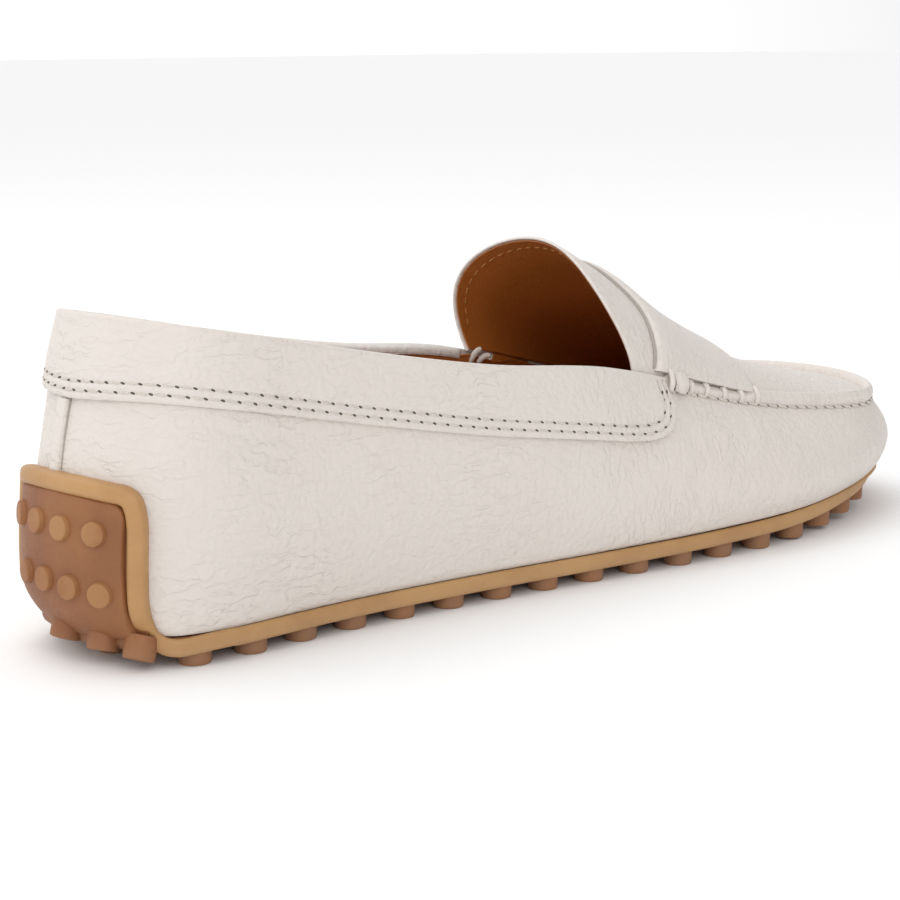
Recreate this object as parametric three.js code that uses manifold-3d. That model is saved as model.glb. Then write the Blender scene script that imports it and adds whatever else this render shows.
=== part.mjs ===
// A driving moccasin for the right foot: a soft slip-on with a raised apron seam, a strap across
// the apron, a cuff round the collar and a rubber sole whose studs run up the back of the heel.
// Millimetres. Toe on +X, left of the foot on +Y, floor at z = 0, standing empty on its studs.
import * as THREE from 'three';
import Module from 'manifold-3d';

const wasm = await Module();
wasm.setup();
const { Manifold, Mesh } = wasm;

// Driving sizes of the shoe
const LENGTH = 250;
const BALL_WIDTH = 82;
const COLLAR_HEIGHT = 68.8;
const INSTEP_HEIGHT = 75;
const TOE_SPRING = 7.4;
const SIDE_BULGE = 5.9;

// Sole
const STUD_HEIGHT = 3.3;
const SOLE_THICKNESS = 3.3;
const SOLE_LEDGE = 0.7;
const SOLE_CHAMFER = 0.8;
const STUD_RADIUS = 3.4;
const STUD_PITCH = 13.1;
const STUD_INSET = 3.3;
const STUD_SIDES = 8;
const STUD_TAPER = 0.94;
const STUD_ROOT = 1.2;
const FIRST_STUD = 23.2;
const TURN_STUD_HEIGHT = 2.1;
const TURN_SINK = 1.5;
const TURN_DROP = 1.1;

// Heel cup, its frame and the studded panel inside it
const CUP_THICKNESS = 3.2;
const CUP_FLOOR = 1.3;
const CUP_LEDGE = 1.3;
const PANEL_SINK = 0.2;
const PANEL_STUD_RADIUS = 2.8;
const PANEL_STUD_HEIGHT = 1.6;
const PANEL_STUD_SINK = 0.7;
const PANEL_STUD_SIDES = 10;
const HEEL_TUCK = 5.5;
const TUCK_TOP = 0.16;
const TUCK_END = 0.06;
const TUCK_FADE = 0.09;

// Leather
const WALL = 2;
const CUFF = 1.1;
const STRAP = 1.2;
const TAPE = 0.8;
const TAPE_WIDTH = 4.2;
const TAPE_SHIFT = 2.6;
const RIDGE_HEIGHT = 2.2;
const RIDGE_FOOT = 2.6;
const RIDGE_TOP = 1.7;
const RIDGE_INNER = 1.1;
const RIDGE_START = 0.552;
const RIDGE_FADE = 0.012;
const RIDGE_AIM = { out: 0.6, up: 0.8 };
const STRAP_FOOT = 2.1;
const INSOLE = 2.4;

// Air left between two pieces, and the height of the feather line at the heel
const GAP = 0.3;
const FEATHER = STUD_HEIGHT + SOLE_THICKNESS;

// Sections of the last along the length. Widths are shares of the ball width, spring of the toe
// spring, collar of the heel collar height and bulge of the side bulge.
const LAST = {
  along: [0, 0.1, 0.22, 0.36, 0.5, 0.62, 0.72, 0.82, 0.92, 1],
  outer: [0.311, 0.295, 0.3, 0.348, 0.417, 0.478, 0.504, 0.502, 0.496, 0.496],
  inner: [0.315, 0.322, 0.322, 0.305, 0.33, 0.396, 0.457, 0.488, 0.5, 0.5],
  spring: [0, 0, 0, 0, 0, 0.053, 0.12, 0.24, 0.42, 1],
  collar: [1, 0.932, 0.844, 0.757, 0.698, 0.599, 0.517, 0.462, 0.439, 0.453],
  bulge: [0.14, 0.27, 0.36, 0.36, 0.45, 0.61, 0.84, 0.96, 0.93, 1],
  railOuter: [0.28, 0.295, 0.323, 0.354, 0.373, 0.368, 0.376, 0.39, 0.399, 0.378],
  railInner: [0.3, 0.298, 0.295, 0.278, 0.278, 0.329, 0.378, 0.391, 0.393, 0.383],
};

// Apron from the throat to the toe: height of its crest as a share of the instep height, and how
// sharply the sides rise from the seam (1 is an ellipse, 2 a parabola).
const APRON = {
  along: [0, 0.12, 0.25, 0.4, 0.55, 0.7, 0.85, 1],
  crest: [1, 0.904, 0.77, 0.655, 0.568, 0.507, 0.461, 0.416],
  rise: [1.2, 1.22, 1.24, 1.3, 1.42, 1.54, 1.64, 1.7],
};

const RAIL_BACK = 0.036 * LENGTH;
const RAIL_FRONT = 0.972 * LENGTH;
const THROAT_X = 0.555 * LENGTH;
const THROAT_LEAN = 0.0125 * LENGTH;
const THROAT_SHIFT = 0.04 * BALL_WIDTH;
const THROAT_BELLY = { outer: 0.05, inner: 0.2 };
const THROAT = 0.53;

// How the side leans from the feather line to the rail, and where its swell lies
const LEAN_POWER = 1.9;
const SWELL_POWER = 0.75;

// Rounded ends of the two outlines: share of the length, and how square the round is
const ROUND = {
  heel: { feather: 0.13, rail: 0.12, power: 2.3 },
  featherToe: { share: 0.3, power: 2.2 },
  railToe: { share: 0.094, power: 2 },
};

// Rubber cup on the heel: how high it climbs the wall at each station, from the back to the side
const CUP = {
  station: [0, 0.06, 0.095, 0.102, 0.108, 0.1115, 0.113, 0.1145, 0.12, 0.1265, 0.142],
  top: [0.515, 0.508, 0.493, 0.475, 0.43, 0.37, 0.25, 0.1, 0.055, 0.03, 0],
};
const PANEL = {
  station: [0, 0.045, 0.063, 0.075, 0.083, 0.087, 0.0895],
  top: [0.47, 0.462, 0.454, 0.449, 0.434, 0.41, 0.37],
};
const PANEL_FOOT = 0.1;

// Cuff round the collar: its lower edge, ending in a rounded corner in front
const CUFF_EDGE = {
  station: [0, 0.115, 0.25, 0.352, 0.439, 0.488, 0.513, 0.532, 0.542, 0.548, 0.553, 0.557],
  low: [0.74, 0.757, 0.739, 0.704, 0.656, 0.622, 0.611, 0.625, 0.655, 0.695, 0.76, 0.85],
};

// Strap over the apron, from the seam (0) to the crest (1): its back and front edges
const STRAP_EDGE = {
  climb: [0, 0.25, 0.5, 0.75, 1],
  back: [0.55, 0.563, 0.572, 0.566, 0.563],
  front: [0.656, 0.658, 0.662, 0.664, 0.664],
};

// Crescent slot through the strap: its ends, how far it bows to the toe, and its width
const SLOT = { end: 0.655 * LENGTH, half: 0.27 * BALL_WIDTH, bow: 9.5, width: 3 };

const STATIONS = [
  0, 0.025, 0.05, 0.075, 0.1, 0.125, 0.15, 0.19, 0.24, 0.3, 0.36, 0.42, 0.48, THROAT,
  0.545, 0.56, 0.575, 0.6, 0.63, 0.67, 0.71, 0.75, 0.79, 0.83, 0.87, 0.91, 0.95, 0.98, 1,
];
const WALL_ROWS = [0, 0.05, 0.1, 0.16, 0.26, 0.38, 0.5, 0.63, 0.76, 0.88];
const APRON_ROWS = [0.3, 0.45, 0.6, 0.74, 0.87, 1];

// Smooth curve through the rows of a table
function along(xs, ys, x) {
  const last = xs.length - 1;
  const at = Math.min(Math.max(x, xs[0]), xs[last]);
  let i = 0;
  while (i < last - 1 && at > xs[i + 1]) i += 1;
  const slope = (k) => (ys[k + 1] - ys[k]) / (xs[k + 1] - xs[k]);
  const tangent = (k) => {
    if (k === 0) return slope(0);
    if (k === last) return slope(last - 1);
    const before = xs[k] - xs[k - 1];
    const after = xs[k + 1] - xs[k];
    return (slope(k - 1) * after + slope(k) * before) / (before + after);
  };
  const h = xs[i + 1] - xs[i];
  const t = (at - xs[i]) / h;
  const s = 1 - t;
  return s * s * (1 + 2 * t) * ys[i] + t * s * s * h * tangent(i)
    + t * t * (3 - 2 * t) * ys[i + 1] - t * t * s * h * tangent(i + 1);
}

function smooth(x) {
  const t = Math.min(Math.max(x, 0), 1);
  return t * t * (3 - 2 * t);
}

// Share of the full width left by the rounded heel and toe
function endRounding(q, heel, toe) {
  const round = (x, p) => Math.max(1 - Math.abs(x) ** p, 0) ** (1 / p);
  if (q < heel) return round(1 - q / heel, ROUND.heel.power);
  if (q > 1 - toe.share) return round((q - 1 + toe.share) / toe.share, toe.power);
  return 1;
}

// A station runs from 0 at the heel to 1 at the toe; side is -1 outside the foot, +1 inside.
function share(station) {
  return (1 - Math.cos(Math.PI * station)) / 2;
}

function column(name, q) {
  return along(LAST.along, LAST[name], q);
}

function featherPoint(station, side) {
  const q = share(station);
  const name = side < 0 ? 'outer' : 'inner';
  const width = BALL_WIDTH * column(name, q) * endRounding(q, ROUND.heel.feather, ROUND.featherToe);
  return new THREE.Vector3(LENGTH * q, side * width, FEATHER + TOE_SPRING * column('spring', q));
}

function railPoint(station, side) {
  const q = share(station);
  const name = side < 0 ? 'railOuter' : 'railInner';
  const width = BALL_WIDTH * column(name, q) * endRounding(q, ROUND.heel.rail, ROUND.railToe);
  const x = RAIL_BACK + (RAIL_FRONT - RAIL_BACK) * q;
  return new THREE.Vector3(x, side * width, COLLAR_HEIGHT * column('collar', q));
}

// Level direction out of the outline
function outward(station, side) {
  const step = 0.002;
  const from = featherPoint(Math.max(station - step, 0), side);
  const to = featherPoint(Math.min(station + step, 1), side);
  const run = to.sub(from);
  return new THREE.Vector3(-run.y * side, run.x * side, 0).normalize();
}

// Side wall from the feather line (t = 0) to the collar or the seam (t = 1)
function wallPoint(station, side, t) {
  const foot = featherPoint(station, side);
  const rail = railPoint(station, side);
  const q = share(station);
  const lean = Math.max(t, 0) ** LEAN_POWER;
  const tuck = HEEL_TUCK * (1 - smooth((station - TUCK_END) / TUCK_FADE));
  const under = Math.max(1 - t / TUCK_TOP, 0) ** 2;
  const swell = SIDE_BULGE * column('bulge', q) * Math.sin(Math.PI * Math.max(t, 0) ** SWELL_POWER);
  const out = outward(station, side).multiplyScalar(swell - tuck * under);
  return new THREE.Vector3(
    foot.x + (rail.x - foot.x) * lean + out.x,
    foot.y + (rail.y - foot.y) * lean + out.y,
    foot.z + (rail.z - foot.z) * t,
  );
}

// Apron from the seam (v = 0) to the crest (v = 1)
function apronPoint(station, side, v) {
  const back = share(THROAT);
  const s = Math.max((share(station) - back) / (1 - back), 0);
  const rail = railPoint(station, side);
  const crestX = THROAT_X + (RAIL_FRONT - THROAT_X) * s;
  const crestZ = INSTEP_HEIGHT * along(APRON.along, APRON.crest, s);
  const rise = along(APRON.along, APRON.rise, s);
  const angle = v * Math.PI / 2;
  const near = (1 - s) ** 2;
  const belly = near * (side < 0 ? THROAT_BELLY.outer : THROAT_BELLY.inner) * Math.sin(2 * angle);
  const lean = near * THROAT_LEAN * Math.sin(Math.PI * v) ** 2;
  return new THREE.Vector3(
    crestX + (rail.x - crestX) * Math.cos(angle) ** 2 - lean,
    rail.y * (Math.cos(angle) + belly) + near * THROAT_SHIFT * Math.sin(angle),
    rail.z + (crestZ - rail.z) * Math.sin(angle) ** rise,
  );
}

// Outward normal of a surface given as point(station, side, climb)
function surfaceNormal(point, station, side, climb) {
  const step = 0.004;
  const a = Math.min(Math.max(Math.abs(station), step), 1 - step);
  const c = Math.min(Math.max(climb, step), 1 - step);
  const u = point(a + step, side, c).sub(point(a - step, side, c));
  const w = point(a, side, c + step).sub(point(a, side, c - step));
  const n = side < 0 ? u.cross(w) : w.cross(u);
  if (Math.abs(station) < step || Math.abs(station) > 1 - step) n.y = 0;
  return n.normalize();
}

// The crest is shared by both sides, so its normal is taken once
function apronNormal(station, side, v) {
  if (v < 0.999) return surfaceNormal(apronPoint, station, side, v);
  const n = surfaceNormal(apronPoint, station, -1, v);
  n.y = 0;
  return n.normalize();
}

function wallSkin(signed, t, offset) {
  const side = signed < 0 ? 1 : -1;
  const station = Math.abs(signed);
  const n = surfaceNormal(wallPoint, station, side, t);
  return wallPoint(station, side, t).addScaledVector(n, offset);
}

// Solids are closed triangle lists; welding them drops the slivers at shared corners
function solid(triangles) {
  const points = [];
  const seen = new Map();
  const index = [];
  const id = (p) => {
    const key = `${Math.round(p.x * 2000)},${Math.round(p.y * 2000)},${Math.round(p.z * 2000)}`;
    if (!seen.has(key)) {
      seen.set(key, points.length / 3);
      points.push(p.x, p.y, p.z);
    }
    return seen.get(key);
  };
  let volume = 0;
  for (const [a, b, c] of triangles) {
    const corner = [id(a), id(b), id(c)];
    if (new Set(corner).size < 3) continue;
    volume += a.dot(b.clone().cross(c));
    index.push(corner);
  }
  if (volume < 0) index.forEach((corner) => corner.reverse());
  return new Manifold(new Mesh({
    numProp: 3,
    vertProperties: new Float32Array(points),
    triVerts: new Uint32Array(index.flat()),
  }));
}

function quad(list, a, b, c, d) {
  list.push([a, b, c], [a, c, d]);
}

// Closed solid through loops of as many points each, with a flat fan over each end
function loft(loops) {
  const list = [];
  const count = loops[0].length;
  for (let i = 0; i < loops.length - 1; i += 1) {
    for (let j = 0; j < count; j += 1) {
      const k = (j + 1) % count;
      quad(list, loops[i][j], loops[i][k], loops[i + 1][k], loops[i + 1][j]);
    }
  }
  for (const [loop, flip] of [[loops[0], false], [loops[loops.length - 1], true]]) {
    for (let j = 1; j < count - 1; j += 1) {
      const face = [loop[0], loop[j + 1], loop[j]];
      list.push(flip ? face.reverse() : face);
    }
  }
  return solid(list);
}

// Round bar standing on the origin
function roundBar(lowRadius, highRadius, height, sides) {
  const ring = (radius, z) => {
    const outline = new THREE.EllipseCurve(0, 0, radius, radius);
    return outline.getPoints(sides).slice(0, sides).map((p) => new THREE.Vector3(p.x, p.y, z));
  };
  return loft([ring(lowRadius, 0), ring(highRadius, height)]);
}

// Closed solid between two grids of the same size
function between(outer, inner) {
  const list = [];
  const rows = outer.length - 1;
  const columns = outer[0].length - 1;
  for (let i = 0; i < rows; i += 1) {
    for (let j = 0; j < columns; j += 1) {
      quad(list, outer[i][j], outer[i][j + 1], outer[i + 1][j + 1], outer[i + 1][j]);
      quad(list, inner[i][j], inner[i + 1][j], inner[i + 1][j + 1], inner[i][j + 1]);
    }
    quad(list, outer[i][0], outer[i + 1][0], inner[i + 1][0], inner[i][0]);
    quad(list, outer[i + 1][columns], outer[i][columns], inner[i][columns], inner[i + 1][columns]);
  }
  for (let j = 0; j < columns; j += 1) {
    quad(list, outer[0][j + 1], outer[0][j], inner[0][j], inner[0][j + 1]);
    quad(list, outer[rows][j], outer[rows][j + 1], inner[rows][j + 1], inner[rows][j]);
  }
  return solid(list);
}

// Plate laid on the wall: a row per signed station, each from its low to its high climb
function wallPlate(stations, climbs, from, to) {
  const grid = (offset) => stations.map((s) => climbs(s).map((t) => wallSkin(s, t, offset)));
  return between(grid(to), grid(from));
}

function bothWays(stations) {
  return [...stations.slice(1).reverse().map((s) => -s), ...stations];
}

function spread(low, high, count) {
  return Array.from({ length: count + 1 }, (_, k) => low + (high - low) * k / count);
}

// Upper: one hollow shell. Outer columns carry the raised seam, inner ones do not.
function ridgeRows(station, side) {
  const span = wallPoint(station, side, 1).distanceTo(wallPoint(station, side, 0.9)) / 0.1;
  const rail = railPoint(station, side);
  let v = 0.01;
  while (apronPoint(station, side, v).distanceTo(rail) < RIDGE_INNER && v < 0.28) v += 0.005;
  return { foot: 1 - RIDGE_FOOT / span, top: 1 - RIDGE_TOP / span, inside: v };
}

function ridgeLift(station, side) {
  const grown = smooth((station - RIDGE_START) / RIDGE_FADE);
  const up = outward(station, side).multiplyScalar(RIDGE_AIM.out);
  up.z = RIDGE_AIM.up;
  return up.multiplyScalar(RIDGE_HEIGHT * grown);
}

function upperColumn(station, side) {
  const apron = station >= THROAT - 1e-9;
  const rows = ridgeRows(station, side);
  const lift = ridgeLift(station, side);
  const none = new THREE.Vector3();
  const out = [];
  const wall = (t, raise) => {
    const n = surfaceNormal(wallPoint, station, side, t);
    out.push({ base: wallPoint(station, side, t), n, raise });
  };
  WALL_ROWS.forEach((t) => wall(Math.min(t, rows.foot - 0.02), none));
  wall(rows.foot, none);
  wall(rows.top, lift);
  wall(1, lift);
  if (apron) {
    const toe = station > 0.999;
    const top = (v) => {
      const base = apronPoint(station, side, v);
      if (toe) base.x -= RIDGE_INNER;
      out.push({ base, n: apronNormal(station, side, toe ? 1 : v), raise: none });
    };
    top(rows.inside);
    APRON_ROWS.forEach(top);
    const rail = out[WALL_ROWS.length + 2];
    rail.n.add(surfaceNormal(apronPoint, station, side, 0.05)).normalize();
  }
  return out;
}

function makeUpper() {
  const signed = [...STATIONS.map((s) => ({ s, side: -1 })),
    ...STATIONS.slice(1, -1).reverse().map((s) => ({ s, side: 1 }))];
  const columns = signed.map(({ s, side }) => upperColumn(s, side));
  const skin = (offset, raised) => columns.map((c) => c.map((p) => {
    const at = p.base.clone().addScaledVector(p.n, offset);
    return raised ? at.add(p.raise) : at;
  }));
  const outer = skin(0, true);
  const inner = skin(-WALL, false);
  const list = [];
  const rim = (a, b) => quad(list, outer[a[0]][a[1]], outer[b[0]][b[1]],
    inner[b[0]][b[1]], inner[a[0]][a[1]]);
  const count = columns.length;
  const wallEnd = WALL_ROWS.length + 2;
  for (let k = 0; k < count; k += 1) {
    const next = (k + 1) % count;
    const tall = Math.min(columns[k].length, columns[next].length) - 1;
    for (let r = 0; r < tall; r += 1) {
      quad(list, outer[k][r], outer[next][r], outer[next][r + 1], outer[k][r + 1]);
      quad(list, inner[k][r], inner[k][r + 1], inner[next][r + 1], inner[next][r]);
    }
    rim([next, 0], [k, 0]);
    if (tall === wallEnd) rim([k, wallEnd], [next, wallEnd]);
  }
  const near = STATIONS.indexOf(THROAT);
  const far = count - near;
  for (let r = wallEnd; r < columns[near].length - 1; r += 1) {
    rim([near, r], [near, r + 1]);
    rim([far, r + 1], [far, r]);
  }
  return solid(list);
}

function makeCuff() {
  const stations = STATIONS.filter((s) => s < 0.52);
  const front = [0.53, 0.542, 0.548, 0.553, 0.557];
  const climbs = (signed) => {
    const s = Math.abs(signed);
    const low = along(CUFF_EDGE.station, CUFF_EDGE.low, s);
    const rows = ridgeRows(s, signed < 0 ? 1 : -1);
    const open = 1 - smooth((s - 0.52) / 0.01);
    return spread(low, open + (1 - open) * (rows.foot - 0.015), 4);
  };
  return wallPlate(bothWays([...stations, ...front]), climbs, GAP, GAP + CUFF);
}

function makeTape() {
  const low = along(CUP.station, CUP.top, 0.02) + 0.008;
  const high = along(CUFF_EDGE.station, CUFF_EDGE.low, 0.02) - 0.008;
  const edge = (y, t, offset) => {
    let signed = 0;
    for (let k = 0; k < 20; k += 1) signed += (wallSkin(signed, t, offset).y - y) * 0.004;
    return wallSkin(signed, t, offset);
  };
  const grid = (offset) => spread(low, high, 5).map((t) => spread(-0.5, 0.5, 3)
    .map((w) => edge(TAPE_SHIFT + TAPE_WIDTH * w, t, offset)));
  return between(grid(GAP + TAPE), grid(GAP));
}

function makeStrap() {
  const climbs = [0, 0.15, 0.3, 0.45, 0.6, 0.75, 0.88, 1];
  const across = [...climbs.map((c) => [c, -1]), ...climbs.slice(0, -1).reverse().map((c) => [c, 1])];
  const point = (c, side, share01, offset) => {
    const back = along(STRAP_EDGE.climb, STRAP_EDGE.back, c);
    const front = along(STRAP_EDGE.climb, STRAP_EDGE.front, c);
    const station = back + (front - back) * share01;
    const rail = railPoint(station, side);
    let start = 0.01;
    while (apronPoint(station, side, start).distanceTo(rail) < STRAP_FOOT) start += 0.005;
    const v = start + (1 - start) * c;
    return apronPoint(station, side, v).addScaledVector(apronNormal(station, side, v), offset);
  };
  const grid = (offset) => across.map(([c, side]) => spread(0, 1, 5)
    .map((s) => point(c, side, s, offset)));
  const arc = (bow) => {
    const radius = (SLOT.half ** 2 + bow ** 2) / (2 * bow);
    const x = SLOT.end + bow - radius;
    return roundBar(radius, radius, INSTEP_HEIGHT, 96).translate([x, 0, FEATHER]);
  };
  const slot = arc(SLOT.bow).subtract(arc(SLOT.bow - SLOT.width));
  return between(grid(GAP + STRAP), grid(GAP)).subtract(slot);
}

// Flat plate lofted along the foot, from one edge of the outline to the other
function footPlate(stations, edge, bottom, top, chamfer) {
  const loops = stations.map((s) => {
    const near = edge(s, -1);
    const far = edge(s, 1);
    const inset = Math.min(chamfer, Math.abs(near.y) * 0.5);
    const low = bottom(s);
    const high = top(s);
    const at = (p, y, z) => new THREE.Vector3(p.x, y, z);
    return [
      at(near, near.y, high), at(near, near.y, low + inset), at(near, near.y + inset, low),
      at(far, far.y - inset, low), at(far, far.y, low + inset), at(far, far.y, high),
    ];
  });
  return loft(loops);
}

function featherHeight(station) {
  return featherPoint(station, -1).z;
}

function stud(base, axis, radius, height, sides) {
  const turn = new THREE.Quaternion().setFromUnitVectors(new THREE.Vector3(0, 0, 1), axis);
  const place = new THREE.Matrix4().compose(base, turn, new THREE.Vector3(1, 1, 1));
  return roundBar(radius, radius * STUD_TAPER, height, sides).transform(place.elements);
}

function soleEdge(station, side) {
  const ledge = SOLE_LEDGE + CUP_LEDGE * (1 - smooth((station - 0.08) / 0.06));
  return wallPoint(station, side, 0).addScaledVector(outward(station, side), ledge);
}

// Height of the underside over a point of the foot plan, from the station that lies beside it
function undersideAt(x) {
  const station = Math.acos(1 - 2 * Math.min(Math.max(x / LENGTH, 0), 1)) / Math.PI;
  return featherHeight(station) - SOLE_THICKNESS;
}

function floorStud(x, y) {
  const under = undersideAt(x);
  const tip = Math.max(0, under - STUD_HEIGHT - 0.7);
  const base = new THREE.Vector3(x, y, under + STUD_ROOT);
  return stud(base, new THREE.Vector3(0, 0, -1), STUD_RADIUS, under + STUD_ROOT - tip, STUD_SIDES);
}

// Studs ring the sole at one pitch, then rows inside the ring fill it, each half a pitch over
function studPlan() {
  const ring = [];
  for (const side of [-1, 1]) {
    let before = null;
    let run = 0;
    let wanted = FIRST_STUD;
    for (let station = 0; station <= 1; station += 0.0005) {
      const p = wallPoint(station, side, 0).addScaledVector(outward(station, side), -STUD_INSET);
      if (before) run += Math.hypot(p.x - before.x, p.y - before.y);
      if (run >= wanted) {
        ring.push([p.x, p.y]);
        wanted += STUD_PITCH;
      }
      before = p;
    }
  }
  const plan = ring.filter(([x, y], i) => ring.every(([u, w], j) => j >= i
    || Math.hypot(x - u, y - w) > STUD_PITCH * 0.7));
  const clear = STUD_PITCH * 0.86;
  for (let row = 0; row < 22; row += 1) {
    const x = 12 + row * STUD_PITCH * 0.87;
    for (let k = -4; k <= 4; k += 1) {
      const y = (k + (row % 2) / 2) * STUD_PITCH;
      const station = Math.acos(1 - 2 * Math.min(x / LENGTH, 1)) / Math.PI;
      const low = wallPoint(station, -1, 0).y + STUD_INSET;
      const high = wallPoint(station, 1, 0).y - STUD_INSET;
      const inside = y > low && y < high;
      if (inside && plan.every(([u, w]) => Math.hypot(x - u, y - w) > clear)) plan.push([x, y]);
    }
  }
  return plan;
}

const HEEL_ROWS = {
  upper: { z: 28.3, across: [12.2, 4.1, -4, -12.2] },
  lower: { z: 17.4, across: [8.3, 0.9, -6.5, -13.4] },
  turn: { z: 6.8, across: [14, 4.3, -5.9, -15.2] },
};

// Root and direction of a stud standing on the heel, found by its height and its place across
function heelSeat(z, y, offset) {
  const t = (z - FEATHER) / (COLLAR_HEIGHT - FEATHER);
  let signed = 0;
  for (let k = 0; k < 40; k += 1) signed += (wallSkin(signed, t, offset).y - y) * 0.003;
  const side = signed < 0 ? 1 : -1;
  const n = surfaceNormal(wallPoint, Math.abs(signed), side, t);
  return { root: wallSkin(signed, t, offset), n };
}

function panelClimbs(grow) {
  return (signed) => {
    const s = Math.abs(signed) / (1 + grow / 16);
    const top = along(PANEL.station, PANEL.top, s) + grow / COLLAR_HEIGHT;
    return spread(PANEL_FOOT - grow / COLLAR_HEIGHT, top, 5);
  };
}

function panelStations(grow) {
  return bothWays(PANEL.station.map((s) => s * (1 + grow / 16)));
}

function makeOutsole() {
  const sheet = footPlate(STATIONS, soleEdge, (s) => featherHeight(s) - SOLE_THICKNESS,
    (s) => featherHeight(s) - GAP, SOLE_CHAMFER);
  const cupStations = bothWays([0, 0.03, ...CUP.station.slice(1)]);
  const cupClimbs = (signed) => {
    const top = Math.max(along(CUP.station, CUP.top, Math.abs(signed)), 0.004);
    return [0, 0.1, 0.2, 0.32, 0.46, 0.62, 0.8, 1].map((k) => k * top);
  };
  const cup = wallPlate(cupStations, cupClimbs, GAP, CUP_THICKNESS);
  const recess = wallPlate(panelStations(GAP), panelClimbs(GAP), CUP_FLOOR, CUP_THICKNESS + 3);
  const studs = studPlan().map(([x, y]) => floorStud(x, y));
  const turn = HEEL_ROWS.turn.across.map((y) => {
    const seat = heelSeat(HEEL_ROWS.turn.z, y, CUP_THICKNESS - TURN_SINK);
    const axis = seat.n.clone();
    axis.z -= TURN_DROP;
    const height = TURN_STUD_HEIGHT + TURN_SINK;
    return stud(seat.root, axis.normalize(), STUD_RADIUS, height, STUD_SIDES);
  });
  return Manifold.union([cup.subtract(recess), sheet, ...studs, ...turn]);
}

function makePanel() {
  const face = CUP_THICKNESS - PANEL_SINK;
  const plate = wallPlate(panelStations(0), panelClimbs(0), CUP_FLOOR + GAP, face);
  const rows = [HEEL_ROWS.upper, HEEL_ROWS.lower];
  const studs = rows.flatMap((row) => row.across.map((y) => {
    const seat = heelSeat(row.z, y, face - PANEL_STUD_SINK);
    const height = PANEL_STUD_HEIGHT + PANEL_STUD_SINK;
    return stud(seat.root, seat.n, PANEL_STUD_RADIUS, height, PANEL_STUD_SIDES);
  }));
  return Manifold.union([plate, ...studs]);
}

function makeInsole() {
  const edge = (s, side) => wallPoint(s, side, 0)
    .addScaledVector(outward(s, side), -(WALL + GAP + 0.3));
  const stations = STATIONS.filter((s) => s > 0.03 && s < 0.97);
  return footPlate(stations, edge, featherHeight, (s) => featherHeight(s) + INSOLE, 0.4);
}

function meshOf(name, body, colour, roughness) {
  const data = body.getMesh();
  const geometry = new THREE.BufferGeometry();
  geometry.setAttribute('position', new THREE.BufferAttribute(data.vertProperties, 3));
  geometry.setIndex(new THREE.BufferAttribute(data.triVerts, 1));
  geometry.computeVertexNormals();
  const material = new THREE.MeshStandardMaterial({ color: colour, roughness, metalness: 0 });
  const mesh = new THREE.Mesh(geometry, material);
  mesh.name = name;
  return mesh;
}

const LEATHER = 0xe6ded6;
const CARAMEL = 0xc8965a;
const BROWN = 0xa9744a;
const TAN = 0xb5713a;

const shoe = new THREE.Group();
shoe.name = 'driving_moccasin';
shoe.add(
  meshOf('upper', makeUpper(), LEATHER, 0.6),
  meshOf('collar_cuff', makeCuff(), LEATHER, 0.6),
  meshOf('apron_strap', makeStrap(), LEATHER, 0.6),
  meshOf('heel_tape', makeTape(), LEATHER, 0.6),
  meshOf('outsole', makeOutsole(), CARAMEL, 0.7),
  meshOf('heel_panel', makePanel(), BROWN, 0.7),
  meshOf('insole', makeInsole(), TAN, 0.7),
);

// Middle of the footprint on the origin
shoe.updateMatrixWorld(true);
const box = new THREE.Box3().setFromObject(shoe, true);
const middle = box.getCenter(new THREE.Vector3());
shoe.position.set(-middle.x, -middle.y, -box.min.z);
shoe.updateMatrixWorld(true);

export default shoe;
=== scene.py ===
import math
import bpy
import bmesh
import numpy as np
from mathutils import Matrix, Vector


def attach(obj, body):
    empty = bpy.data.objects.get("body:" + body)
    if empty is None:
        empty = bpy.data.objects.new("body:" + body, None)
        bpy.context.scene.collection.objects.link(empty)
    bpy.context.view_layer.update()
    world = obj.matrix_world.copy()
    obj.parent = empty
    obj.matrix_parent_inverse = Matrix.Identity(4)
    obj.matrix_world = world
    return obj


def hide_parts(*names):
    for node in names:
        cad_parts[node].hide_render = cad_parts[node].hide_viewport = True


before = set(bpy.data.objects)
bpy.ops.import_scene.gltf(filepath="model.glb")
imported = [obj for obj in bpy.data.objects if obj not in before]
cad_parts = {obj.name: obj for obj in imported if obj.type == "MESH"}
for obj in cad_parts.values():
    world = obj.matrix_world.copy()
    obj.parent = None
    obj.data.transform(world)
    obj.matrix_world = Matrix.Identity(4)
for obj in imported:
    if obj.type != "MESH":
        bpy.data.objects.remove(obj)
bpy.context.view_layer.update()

# The last, in millimetres. x runs to the toe from the back of the feather line, y to the inner
# side, and heelPlace is where that starting point lies in the frame. A signed station s runs
# from -1 at the toe round the outer side to 0 at the heel and on to +1 at the toe again.
last = {
    "length": 250.0, "ballWidth": 82.0, "collarHeight": 68.8, "instepHeight": 75.0,
    "toeSpring": 7.4, "sideBulge": 5.9, "feather": 6.6, "heelTuck": 5.5, "tuckTop": 0.16,
    "railBack": 9.0, "railFront": 243.0, "throatStation": 0.53, "throatX": 138.75,
    "throatLean": 3.125, "throatShift": 3.28, "bellyOuter": 0.05, "bellyInner": 0.2,
    "heelPlace": (-124.94, 1.26, 0.0), "featherEnds": (.13, .3, 2.2), "railEnds": (.12, .094, 2),
    "heelPower": 2.3, "leanPower": 1.9, "bulgePower": .75, "tuckFrom": .06, "tuckFade": .09,
}
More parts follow.
